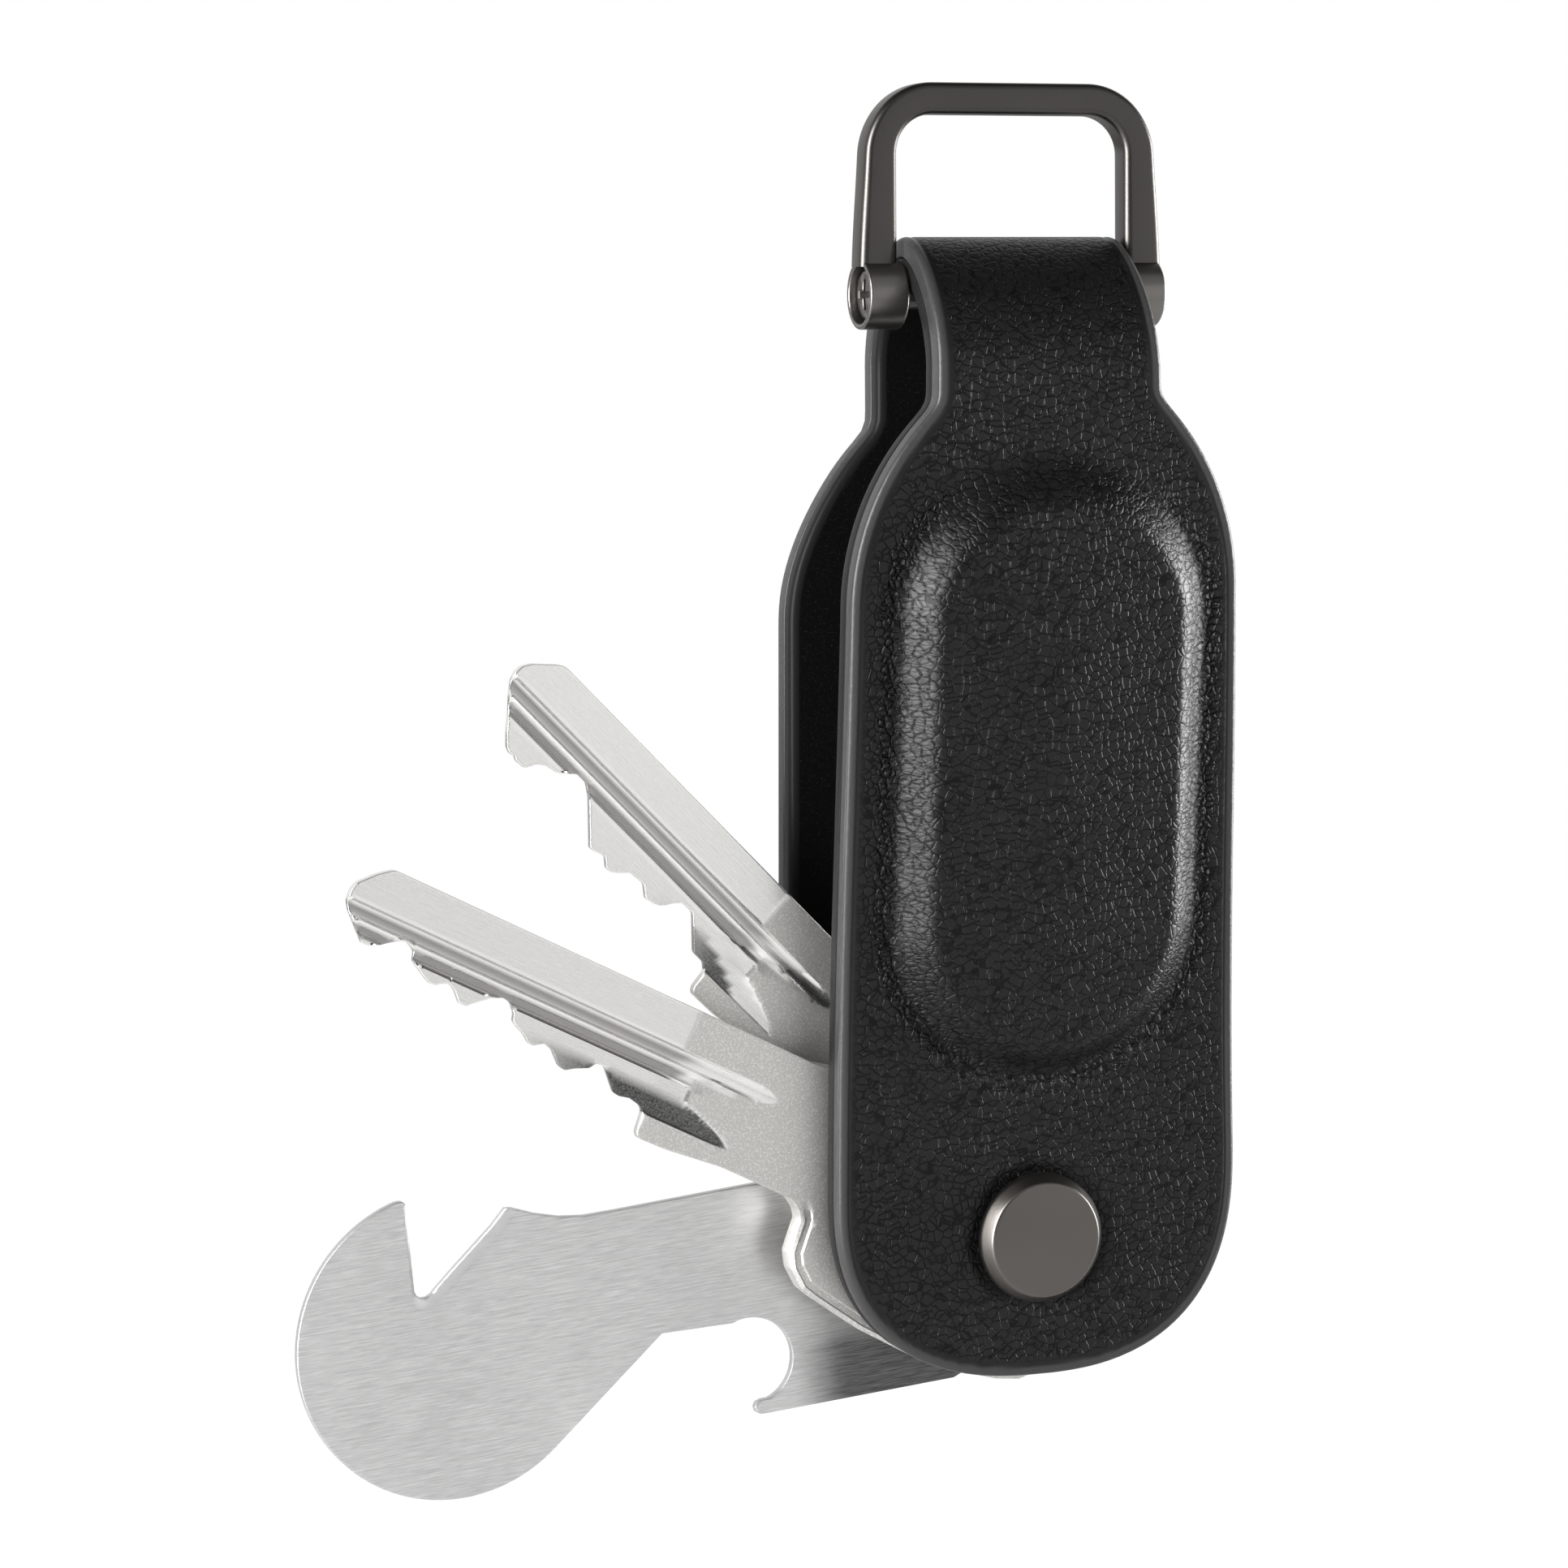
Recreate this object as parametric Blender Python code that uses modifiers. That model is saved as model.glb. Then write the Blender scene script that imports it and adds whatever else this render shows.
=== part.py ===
"""A folded leather key organizer: two keys and a flat tool swing on a pivot post between two leaves.

Frame: +Z up the strap, -Y out of the front leaf, +X to the right of someone facing that leaf.
The origin is the centre of the front button's flat face, and the pivot axis runs along Y through it.
"""

import math

import bmesh
import bpy
from mathutils import Matrix, Vector

MM = 0.001

# Leather: a cover and a lining, glued back to back, folded over the ring's pin
COVER_THICKNESS = 1.5 * MM
LINING_THICKNESS = 1.4 * MM
GLUE_GAP = 0.2 * MM
LEAF_HALF_WIDTH_LOW = 16.5 * MM
LEAF_HALF_WIDTH_HIGH = 16.0 * MM
LEAF_END_BELOW_PIVOT = 10.8 * MM
LEAF_END_RISE = 14.3 * MM
LEAF_END_SQUARENESS = 2.4
SHOULDER_HEIGHT = 48.5 * MM
SHOULDER_RADIUS = 20.5 * MM
NECK_SOFTNESS = 0.35 * MM
REAR_SHOULDER_DROP = 1.2 * MM
STRAP_HALF_WIDTH = 9.05 * MM
FOLD_HALF_WIDTH = 8.7 * MM
LEATHER_EDGE_ROUND = 0.5 * MM

# How far the front leaf stands off over the keys, and where it starts and ends
LEAF_SPREAD = 3.2 * MM
SPREAD_START = 4.0 * MM
SPREAD_LENGTH = 58.0 * MM

# The fold over the pin, as a curve from its crest down to each leaf
FOLD_LENGTH = 10.3 * MM
FOLD_CREST_PULL = 3.5 * MM
FOLD_SIDE_PULL = 5.0 * MM

# Moulded pad on the front leaf
PAD_HALF_WIDTH = 12.75 * MM
PAD_BOTTOM = 12.2 * MM
PAD_TOP = 60.5 * MM
PAD_HEIGHT = 2.5 * MM
PAD_WALL_RUN = 3.8 * MM
CORE_INSET = 1.3 * MM
CORE_GAP = 0.2 * MM
CORE_EDGE = 0.25 * MM

# Pivot post with its button head, and the screw that closes it from behind
BUTTON_RADIUS = 5.0 * MM
BUTTON_FACE_RADIUS = 4.3 * MM
BUTTON_RIM_HEIGHT = 0.65 * MM
HEAD_HEIGHT = 1.4 * MM
SEAT_GAP = 0.2 * MM
POST_RADIUS = 2.5 * MM
POST_END_GAP = 0.3 * MM
POST_BORE_RADIUS = 1.7 * MM
POST_BORE_FLOOR = 1.6 * MM
SCREW_SHANK_RADIUS = 1.5 * MM
SCREW_SHANK_LENGTH = 8.0 * MM
SLOT_WIDTH = 1.0 * MM
SLOT_DEPTH = 0.6 * MM
POST_CLEARANCE = 0.15 * MM

# Washers between the moving plates
WASHER_THICKNESS = 0.3 * MM
WASHER_RADIUS = 5.6 * MM
STACK_GAP = 0.15 * MM
WAVE_WASHER_THICKNESS = 0.15 * MM
WAVE_HEIGHT = 0.15 * MM
WAVES = 3

# Keys, in their own plane: along the blade from the pivot, and across it
KEY_THICKNESS = 2.0 * MM
BLADE_LENGTH = 59.3 * MM
BLADE_BACK = 4.85 * MM
SHOULDER_STOP = 32.1 * MM
STOP_DEPTH = 5.7 * MM
NECK_HALF_WIDTH = 5.2 * MM
BOW_START = 17.0 * MM
BOW_HALF_WIDTH = 12.4 * MM
BOW_END = 8.5 * MM
KEY_REAR_OFFSET = 0.95 * MM
GROOVE_DEPTH = 0.5 * MM
UPPER_GROOVE = 1.05 * MM
LOWER_GROOVE = -0.25 * MM
BACK_GROOVE = 2.6 * MM
GROOVE_WIDTH = 1.1 * MM
GROOVE_END = 24.0 * MM
GROOVE_RUN_OUT = 7.0 * MM
CUT_UNIT = 1.0 * MM
CUTS_SPAN = 27.2 * MM
CUTS_FRONT = (
    (25.2, -0.8), (24.5, -1.1), (22.7, 0.4), (21.5, 0.0), (21.3, -0.7), (19.3, -1.7), (18.0, -1.1),
    (16.4, -2.1), (14.3, -0.6), (13.3, -0.4), (12.4, -1.4), (10.3, -2.7), (9.1, -2.2), (7.3, -3.4),
    (5.2, -2.3), (4.3, -1.9), (2.6, -3.5), (0.5, -3.5),
)
CUTS_REAR = (
    (24.5, -1.3), (23.5, -2.7), (21.5, -2.7), (19.1, -1.1), (17.9, -0.2), (16.9, -0.2), (13.2, -3.4),
    (12.1, -3.1), (11.1, -3.6), (9.5, -2.5), (8.3, -2.5), (7.2, -3.2), (6.2, -2.8), (5.1, -1.5),
    (3.9, -1.4), (1.7, -3.4), (0.5, -3.5),
)

# Flat tool: a coin-sized disc with a notch, an arm, and a bottle hook beside the pivot
TOOL_THICKNESS = 1.5 * MM
DISC_RADIUS = 11.8 * MM
DISC_REACH = 45.1 * MM
DISC_OFFSET = -2.5 * MM
ARM_TOP = 5.6 * MM
ARM_BOTTOM = -4.6 * MM
HOOK_EDGE = -12.3 * MM
HOOK_REACH = 21.1 * MM
HOOK_RADIUS = 3.4 * MM
HOOK_HEEL_REACH = 4.6 * MM
DISC_TO_ARM = 16.8 * MM
ARM_TOP_END = 32.0 * MM
TOOL_HEEL_RADIUS = 7.6 * MM
NOTCH_OUTER = 46.9 * MM
NOTCH_INNER = 39.2 * MM
NOTCH_FLOOR = 1.2 * MM
NOTCH_LIP = 7.1 * MM

# D-ring, the screw that it hangs on and the sleeve inside the fold
PIN_HEIGHT = 72.0 * MM
SLEEVE_RADIUS = 1.1 * MM
SLEEVE_BORE_RADIUS = 0.92 * MM
PIN_CLEARANCE = 0.1 * MM
RING_TOP_ABOVE_PIN = 16.0 * MM
RING_TOP_BAR = 2.45 * MM
RING_LEG_TOP_WIDTH = 2.4 * MM
RING_LEG_FOOT_WIDTH = 2.85 * MM
RING_DEPTH = 2.3 * MM
RING_SIDE_CLEARANCE = 0.3 * MM
RING_OUTER_CORNER = 4.7 * MM
RING_INNER_CORNER = 2.8 * MM
RING_EDGE_ROUND = 0.35 * MM
BOSS_RADIUS = 2.65 * MM
PIN_SCREW_RADIUS = 0.8 * MM
PIN_HOLE_RADIUS = 0.95 * MM
PIN_HEAD_RADIUS = 1.85 * MM
PIN_HEAD_THICKNESS = 1.0 * MM
PIN_HEAD_SINK = 0.5 * MM
PIN_POCKET_RADIUS = 2.2 * MM
PIN_POCKET_GAP = 0.2 * MM
PIN_END_WALL = 0.8 * MM
CROSS_LENGTH = 2.4 * MM
CROSS_WIDTH = 0.45 * MM
CROSS_DEPTH = 0.5 * MM

# How far each plate is swung out of the strap, from straight up, to the left
KEY_FRONT_OPEN = 63.3
KEY_REAR_OPEN = 44.3
TOOL_OPEN = 95.3

COVER_STEP = 2.4 * MM
LINING_STEP = 7.0 * MM
ROUND_STEPS = 48
SMALL_STEPS = 24

leather = COVER_THICKNESS + GLUE_GAP + LINING_THICKNESS
frontLeafY = HEAD_HEIGHT + SEAT_GAP
frontWasherY = frontLeafY + leather + STACK_GAP
keyFrontY = frontWasherY + WASHER_THICKNESS + STACK_GAP
middleWasherY = keyFrontY + KEY_THICKNESS + STACK_GAP
keyRearY = middleWasherY + WASHER_THICKNESS + STACK_GAP
rearWasherY = keyRearY + KEY_THICKNESS + STACK_GAP
toolY = rearWasherY + WASHER_THICKNESS + STACK_GAP
waveWasherY = toolY + TOOL_THICKNESS + STACK_GAP
rearInnerY = waveWasherY + WAVE_WASHER_THICKNESS + WAVE_HEIGHT + STACK_GAP
rearLeafY = rearInnerY + leather
screwHeadY = rearLeafY + SEAT_GAP
neckY = frontLeafY - LEAF_SPREAD
pinY = (neckY + rearLeafY) / 2
crestZ = PIN_HEIGHT + SLEEVE_RADIUS + PIN_CLEARANCE + leather
foldZ = crestZ - FOLD_LENGTH
boreRadius = POST_RADIUS + POST_CLEARANCE


def clear_scene():
    for old in list(bpy.data.objects):
        bpy.data.objects.remove(old, do_unlink=True)


def new_collection(name):
    made = bpy.data.collections.new(name)
    bpy.context.scene.collection.children.link(made)
    return made


def new_material(name, colour, roughness, metallic):
    made = bpy.data.materials.new(name)
    made.use_nodes = True
    shader = made.node_tree.nodes["Principled BSDF"]
    shader.inputs["Base Color"].default_value = (*colour, 1.0)
    shader.inputs["Roughness"].default_value = roughness
    shader.inputs["Metallic"].default_value = metallic
    return made


def add_object(name, mesh, collection, material=None):
    made = bpy.data.objects.new(name, mesh)
    collection.objects.link(made)
    if material:
        mesh.materials.append(material)
    return made


def from_bmesh(name, bm, collection, material=None):
    bmesh.ops.recalc_face_normals(bm, faces=bm.faces)
    mesh = bpy.data.meshes.new(name)
    bm.to_mesh(mesh)
    bm.free()
    return add_object(name, mesh, collection, material)


def round_off(obj, width, segments=2, angle=50):
    bevel = obj.modifiers.new("Round", "BEVEL")
    bevel.width = width
    bevel.segments = segments
    bevel.limit_method = "ANGLE"
    bevel.angle_limit = math.radians(angle)


def combine(obj, other, operation):
    boolean = obj.modifiers.new(other.name, "BOOLEAN")
    boolean.operation = operation
    boolean.object = other
    boolean.solver = "EXACT"


def as_cutter(obj):
    obj.hide_render = True
    obj.display_type = "WIRE"
    return obj


def smooth_round(obj, angle=35):
    obj.data.shade_smooth()
    obj.data.set_sharp_from_angle(angle=math.radians(angle))


def rod(name, radius, start, end, collection, material=None, steps=ROUND_STEPS):
    """A cylinder between two points."""
    start, end = Vector(start), Vector(end)
    bm = bmesh.new()
    turn = (end - start).to_track_quat("Z", "Y").to_matrix().to_4x4()
    bmesh.ops.create_cone(
        bm, cap_ends=True, segments=steps, radius1=radius, radius2=radius, depth=(end - start).length,
        matrix=Matrix.Translation((start + end) / 2) @ turn,
    )
    return from_bmesh(name, bm, collection, material)


def box(name, size, centre, collection):
    bm = bmesh.new()
    bmesh.ops.create_cube(bm, size=1.0)
    bmesh.ops.scale(bm, vec=size, verts=bm.verts)
    bmesh.ops.translate(bm, vec=centre, verts=bm.verts)
    return from_bmesh(name, bm, collection)


def turned(name, profile, material, steps=ROUND_STEPS):
    """A piece turned about the pivot axis from (radius, y) points, listed from the front to the back."""
    mesh = bpy.data.meshes.new(name)
    points = [(radius, y, 0.0) for radius, y in reversed(profile)]
    mesh.from_pydata(points, [(i, i + 1) for i in range(len(points) - 1)], [])
    made = add_object(name, mesh, parts, material)
    screw = made.modifiers.new("Turn", "SCREW")
    screw.axis = "Y"
    screw.steps = screw.render_steps = steps
    screw.use_merge_vertices = True
    screw.merge_threshold = 0.00001
    screw.use_normal_calculate = True
    return made


def plate(name, outline, thickness, collection, material=None):
    """A flat plate in the XZ plane, half its thickness to each side of Y = 0."""
    curve = bpy.data.curves.new(name, "CURVE")
    curve.dimensions = "2D"
    curve.fill_mode = "BOTH"
    curve.extrude = thickness / 2
    spline = curve.splines.new("POLY")
    spline.points.add(len(outline) - 1)
    for point, (x, z) in zip(spline.points, outline):
        point.co = (x, z, 0.0, 1.0)
    spline.use_cyclic_u = True
    drawn = bpy.data.objects.new(name, curve)
    drawn.rotation_euler.x = math.pi / 2
    collection.objects.link(drawn)
    bpy.context.view_layer.update()
    evaluated = drawn.evaluated_get(bpy.context.evaluated_depsgraph_get())
    mesh = bpy.data.meshes.new_from_object(evaluated)
    mesh.transform(drawn.matrix_world)
    bpy.data.objects.remove(drawn, do_unlink=True)
    bm = bmesh.new()
    bm.from_mesh(mesh)
    bmesh.ops.remove_doubles(bm, verts=bm.verts, dist=0.000001)
    bmesh.ops.recalc_face_normals(bm, faces=bm.faces)
    bm.to_mesh(mesh)
    bm.free()
    mesh.name = name
    mesh.materials.clear()
    return add_object(name, mesh, collection, material)


def arc(centre, radius, start, end, steps):
    """Points on a circle in the plate's plane, from one angle to another, in degrees from +X towards +Z."""
    turns = [math.radians(start + (end - start) * i / steps) for i in range(steps + 1)]
    return [(centre[0] + radius * math.cos(a), centre[1] + radius * math.sin(a)) for a in turns]


def slab(name, columns, stations, place, collection, material):
    """A grid with a second layer, each point of it placed by place(column, station, layer)."""
    bm = bmesh.new()
    bmesh.ops.create_grid(bm, x_segments=len(columns) - 1, y_segments=len(stations) - 1, size=1.0)
    layers = bm.verts.layers.int.new("layer")
    made = bmesh.ops.extrude_face_region(bm, geom=bm.faces[:])
    for item in made["geom"]:
        if isinstance(item, bmesh.types.BMVert):
            item[layers] = 1
    for vert in bm.verts:
        column = round((vert.co.x + 1) / 2 * (len(columns) - 1))
        row = round((vert.co.y + 1) / 2 * (len(stations) - 1))
        vert.co = place(columns[column], stations[row], vert[layers])
    bm.verts.layers.int.remove(layers)
    return from_bmesh(name, bm, collection, material)


def leaf_half_width(z):
    """The leaf's outline: a squarish round end, nearly straight sides, and round shoulders into the strap."""
    end_top = LEAF_END_RISE - LEAF_END_BELOW_PIVOT
    if z < end_top:
        fall = min(1.0, (end_top - z) / LEAF_END_RISE)
        return LEAF_HALF_WIDTH_LOW * (1 - fall**LEAF_END_SQUARENESS) ** (1 / LEAF_END_SQUARENESS)
    if z < SHOULDER_HEIGHT:
        share = (z - end_top) / (SHOULDER_HEIGHT - end_top)
        return LEAF_HALF_WIDTH_LOW + (LEAF_HALF_WIDTH_HIGH - LEAF_HALF_WIDTH_LOW) * share
    rise = min(z - SHOULDER_HEIGHT, SHOULDER_RADIUS)
    round_side = LEAF_HALF_WIDTH_HIGH - SHOULDER_RADIUS + math.sqrt(SHOULDER_RADIUS**2 - rise**2)
    over = (round_side - STRAP_HALF_WIDTH) / NECK_SOFTNESS
    return STRAP_HALF_WIDTH + NECK_SOFTNESS * (over if over > 30 else math.log1p(math.exp(over)))


def front_face_y(z):
    """The front leaf's outer face, flat at the pivot and easing forward to the neck."""
    share = min(1.0, max(0.0, (z - SPREAD_START) / SPREAD_LENGTH))
    return frontLeafY - LEAF_SPREAD * (1 - math.cos(math.pi * share)) / 2


def pad_rise(x, z, inset=0.0):
    """How far the moulded pad stands out of the front leaf at a point of it."""
    low, high = PAD_BOTTOM + PAD_HALF_WIDTH, PAD_TOP - PAD_HALF_WIDTH
    inside = PAD_HALF_WIDTH - math.hypot(x, z - min(high, max(low, z)))
    share = min(1.0, max(0.0, (inside - inset) / PAD_WALL_RUN))
    return PAD_HEIGHT * (1 - math.cos(math.pi * share)) / 2


def fold_point(side_y, share):
    """The fold's outer face, from the straight leaf at side_y (share 0) up to the crest (share 1)."""
    out = -1 if side_y < pinY else 1
    corners = (
        Vector((side_y, foldZ)), Vector((side_y, foldZ + FOLD_SIDE_PULL)),
        Vector((pinY + out * FOLD_CREST_PULL, crestZ)), Vector((pinY, crestZ)),
    )
    a, b = 1 - share, share
    return a**3 * corners[0] + 3 * a * a * b * corners[1] + 3 * a * b * b * corners[2] + b**3 * corners[3]


def end_heights():
    """Heights down the round end of a leaf, from its widest point to nearly its lowest."""
    top = LEAF_END_RISE - LEAF_END_BELOW_PIVOT
    turns = [math.radians(a) for a in (0, 14, 28, 42, 56, 70, 84)]
    return [top - LEAF_END_RISE * math.sin(a) ** (2 / LEAF_END_SQUARENESS) for a in turns]


def spaced(low, high, step):
    count = max(1, math.ceil((high - low) / step))
    return [low + (high - low) * i / count for i in range(count + 1)]


def strap_stations(pad_step):
    """(y, z, half width, height up the front leaf) along the outer face, from the front end to the rear end."""
    rows = []
    neck = spaced(PAD_TOP, foldZ, 1.3 * MM)
    for z in end_heights()[:0:-1] + spaced(end_heights()[0], PAD_TOP, pad_step)[:-1] + neck[:-1]:
        rows.append((front_face_y(z), z, leaf_half_width(z), z))
    turns = [i / 9 for i in range(10)]
    for share in turns:
        y, z = fold_point(neckY, share)
        rows.append((y, z, leaf_half_width(z) + (FOLD_HALF_WIDTH - STRAP_HALF_WIDTH) * share, PAD_TOP))
    for share in turns[-2::-1]:
        y, z = fold_point(rearLeafY, share)
        rows.append((y, z, leaf_half_width(z) + (FOLD_HALF_WIDTH - STRAP_HALF_WIDTH) * share, PAD_TOP))
    low = end_heights()[0]
    for z in spaced(SHOULDER_HEIGHT - REAR_SHOULDER_DROP, foldZ, 1.6 * MM)[-2::-1] + end_heights():
        drop = REAR_SHOULDER_DROP if z > low else 0.0
        rows.append((rearLeafY, z, leaf_half_width(z + drop), PAD_TOP))
    return rows


def with_normals(rows):
    """Each station with the unit vector, in Y and Z, that points from the outer face into the leather."""
    made = []
    for i, row in enumerate(rows):
        before, after = rows[max(0, i - 1)], rows[min(len(rows) - 1, i + 1)]
        along = Vector((after[0] - before[0], after[1] - before[1])).normalized()
        made.append((*row, along.y, -along.x))
    return made


def leather_layer(name, material, top, thickness, columns, pad_step, raised):
    """One layer of the strap, from top to top + thickness below the outer face."""
    def place(column, station, layer):
        y, z, half, up, ny, nz = station
        depth = top + thickness * layer
        if raised:
            depth -= pad_rise(column * half, up)
        return Vector((column * half, y + ny * depth, z + nz * depth))

    made = slab(name, columns, with_normals(strap_stations(pad_step)), place, parts, material)
    round_off(made, min(LEATHER_EDGE_ROUND, thickness / 3))
    combine(made, post_hole, "DIFFERENCE")
    smooth_round(made, 40)
    return made


def pad_core(material):
    """The filler between the lining and the raised part of the cover."""
    radius = PAD_HALF_WIDTH - CORE_INSET
    low, high = PAD_BOTTOM + PAD_HALF_WIDTH, PAD_TOP - PAD_HALF_WIDTH
    turns = [math.radians(a) for a in (82, 66, 50, 34, 17)]
    ends = [(radius * math.sin(a), radius * math.cos(a)) for a in turns]
    rows = [(low - rise, half) for rise, half in ends]
    rows += [(z, radius) for z in spaced(low, high, 4.5 * MM)]
    rows += [(high + rise, half) for rise, half in reversed(ends)]

    def place(column, station, layer):
        z, half = station
        x = column * half
        depth = COVER_THICKNESS - layer * max(CORE_EDGE, pad_rise(x, z, CORE_INSET) - CORE_GAP)
        return Vector((x, front_face_y(z) + depth, z))

    return slab("pad_core", [i / 6 for i in range(-6, 7)], rows, place, parts, material)


def washer(name, y, material):
    ring = rod(name, WASHER_RADIUS, (0, y, 0), (0, y + WASHER_THICKNESS, 0), parts, material, SMALL_STEPS * 2)
    combine(ring, post_hole, "DIFFERENCE")
    return ring


def wave_washer(material):
    """A thin spring washer whose ring rises and falls three times round the post."""
    turns = [math.tau * i / (SMALL_STEPS * 2) for i in range(SMALL_STEPS * 2)]
    bm = bmesh.new()
    loops = []
    for radius, layer in ((boreRadius, 0), (WASHER_RADIUS, 0), (WASHER_RADIUS, 1), (boreRadius, 1)):
        loop = []
        for a in turns:
            y = waveWasherY + WAVE_HEIGHT * (1 + math.cos(WAVES * a)) / 2 + WAVE_WASHER_THICKNESS * layer
            loop.append(bm.verts.new((radius * math.cos(a), y, radius * math.sin(a))))
        loops.append(loop)
    for here, there in zip(loops, loops[1:] + loops[:1]):
        for i in range(len(turns)):
            j = (i + 1) % len(turns)
            bm.faces.new((here[i], here[j], there[j], there[i]))
    return from_bmesh("wave_washer", bm, parts, material)


def pivot_post(material):
    end = screwHeadY - POST_END_GAP
    chamfer = 0.12 * MM
    profile = [
        (0.0, 0.0), (BUTTON_FACE_RADIUS, 0.0), (BUTTON_FACE_RADIUS + chamfer, chamfer / 2),
        (BUTTON_RADIUS, HEAD_HEIGHT - BUTTON_RIM_HEIGHT), (BUTTON_RADIUS, HEAD_HEIGHT), (POST_RADIUS, HEAD_HEIGHT),
        (POST_RADIUS, end), (POST_BORE_RADIUS, end), (POST_BORE_RADIUS, POST_BORE_FLOOR), (0.0, POST_BORE_FLOOR),
    ]
    made = turned("pivot_post", profile, material)
    smooth_round(made)
    return made


def pivot_screw(material):
    back = screwHeadY + HEAD_HEIGHT
    profile = [
        (0.0, screwHeadY - SCREW_SHANK_LENGTH), (SCREW_SHANK_RADIUS, screwHeadY - SCREW_SHANK_LENGTH),
        (SCREW_SHANK_RADIUS, screwHeadY), (BUTTON_RADIUS, screwHeadY), (BUTTON_RADIUS, screwHeadY + BUTTON_RIM_HEIGHT),
        (BUTTON_FACE_RADIUS, back), (0.0, back),
    ]
    made = turned("pivot_screw", profile, material)
    slot = as_cutter(box(
        "slot_cutter", (2 * BUTTON_RADIUS, 2 * SLOT_DEPTH, SLOT_WIDTH), (0, back, 0), cutters,
    ))
    combine(made, slot, "DIFFERENCE")
    smooth_round(made)
    return made


def groove_cutter(name, across, side):
    """A groove along the blade that runs out towards the bow as the milling wheel left it."""
    depths = [(BLADE_LENGTH + 2 * MM, 1.0)]
    for i in range(6):
        share = i / 5
        depths.append((GROOVE_END + GROOVE_RUN_OUT * (1 - share), 1 - share * share))
    skin = 0.3 * MM

    def place(column, station, layer):
        along, depth = station
        cut = GROOVE_DEPTH * depth
        half = GROOVE_WIDTH / 2 * (0.55 if layer else 1.0) * (0.6 + 0.4 * depth)
        y = KEY_THICKNESS / 2 + skin if not layer else KEY_THICKNESS / 2 - max(cut, 0.01 * MM)
        return Vector((across + column * half, side * y, along))

    return as_cutter(slab(name, (-1, 1), depths, place, cutters, None))


def key_outline(cuts):
    """(across, along) points of a key, from the tip's back corner down the cut side and round the bow."""
    tip = [
        (BLADE_BACK, BLADE_LENGTH - 2.7 * MM), (BLADE_BACK - 0.6 * MM, BLADE_LENGTH - 1.6 * MM),
        (BLADE_BACK - 2.5 * MM, BLADE_LENGTH), (BLADE_BACK - 3.5 * MM, BLADE_LENGTH),
        (BLADE_BACK - 4.6 * MM, BLADE_LENGTH - 0.7 * MM),
    ]
    stretch = CUT_UNIT * (BLADE_LENGTH - SHOULDER_STOP) / CUTS_SPAN
    teeth = [(v * CUT_UNIT, SHOULDER_STOP + u * stretch) for u, v in cuts]
    stop = [
        (-STOP_DEPTH + 1.9 * MM, SHOULDER_STOP), (-STOP_DEPTH + 0.3 * MM, SHOULDER_STOP),
        (-STOP_DEPTH, SHOULDER_STOP - 0.4 * MM),
    ]
    middle = (BOW_START - BOW_END) / 2
    half_length = (BOW_START + BOW_END) / 2
    neck = [(-NECK_HALF_WIDTH, BOW_START + 2.4 * MM), (-NECK_HALF_WIDTH - 0.5 * MM, BOW_START + 0.6 * MM)]
    bow = []
    for i in range(13):
        a = math.radians(32 + (90 - 32) * i / 5) if i < 5 else math.radians(90 + 90 * (i - 5) / 7)
        bow.append((
            -BOW_HALF_WIDTH * abs(math.sin(a)) ** 0.62,
            middle + half_length * math.copysign(abs(math.cos(a)) ** 0.78, math.cos(a)),
        ))
    side = stop + neck + bow
    other = [(-x, z) for x, z in reversed(neck + bow[:-1])]
    return tip + teeth + side + other + [(BLADE_BACK, BOW_START + 4.0 * MM)]


def key(name, cuts, y, offset, open_angle, material):
    outline = [(x + offset, z) for x, z in key_outline(cuts)]
    made = plate(name, outline, KEY_THICKNESS, parts, material)
    hole = as_cutter(rod(name + "_hole", boreRadius, (0, -KEY_THICKNESS, 0), (0, KEY_THICKNESS, 0), cutters))
    tools = [hole]
    for label, across, side in (("upper", UPPER_GROOVE, -1), ("lower", LOWER_GROOVE, -1), ("back", BACK_GROOVE, 1)):
        tools.append(groove_cutter(f"{name}_{label}_groove", across + offset, side))
    for tool in tools:
        tool.parent = made
        combine(made, tool, "DIFFERENCE")
    made.location.y = y + KEY_THICKNESS / 2
    made.rotation_euler.y = -math.radians(open_angle)
    return made


def tool_outline():
    """(across, along) points of the flat tool, anticlockwise from the notch."""
    centre = (DISC_OFFSET, DISC_REACH)
    lip = math.degrees(math.atan2(NOTCH_OUTER - DISC_REACH + 1.2 * MM, 11.4 * MM))
    disc = arc(centre, DISC_RADIUS, lip, 218, 30)
    hook_centre = (ARM_BOTTOM - HOOK_RADIUS, HOOK_REACH)
    hook = arc(hook_centre, HOOK_RADIUS, 20, -150, 12)
    heel = arc((0.0, 0.0), TOOL_HEEL_RADIUS, 200, 318, 12)
    return (
        [(NOTCH_FLOOR + 0.3 * MM, NOTCH_OUTER), (ARM_TOP + 3.4 * MM, NOTCH_OUTER)]
        + disc
        + [(ARM_BOTTOM, DISC_REACH - DISC_TO_ARM)]
        + hook
        + [(HOOK_EDGE + 0.5 * MM, HOOK_REACH + 0.1 * MM), (HOOK_EDGE, HOOK_REACH - 0.6 * MM)]
        + [(HOOK_EDGE, HOOK_HEEL_REACH), (HOOK_EDGE + 1.1 * MM, HOOK_HEEL_REACH - 2.6 * MM)]
        + heel
        + [(ARM_TOP, ARM_TOP_END), (ARM_TOP + 0.4 * MM, ARM_TOP_END + 3.6 * MM), (NOTCH_LIP, NOTCH_INNER - 0.5 * MM)]
        + [(NOTCH_LIP - 0.1 * MM, NOTCH_INNER + 0.3 * MM), (NOTCH_FLOOR - 0.3 * MM, NOTCH_OUTER - 0.5 * MM)]
    )


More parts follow.
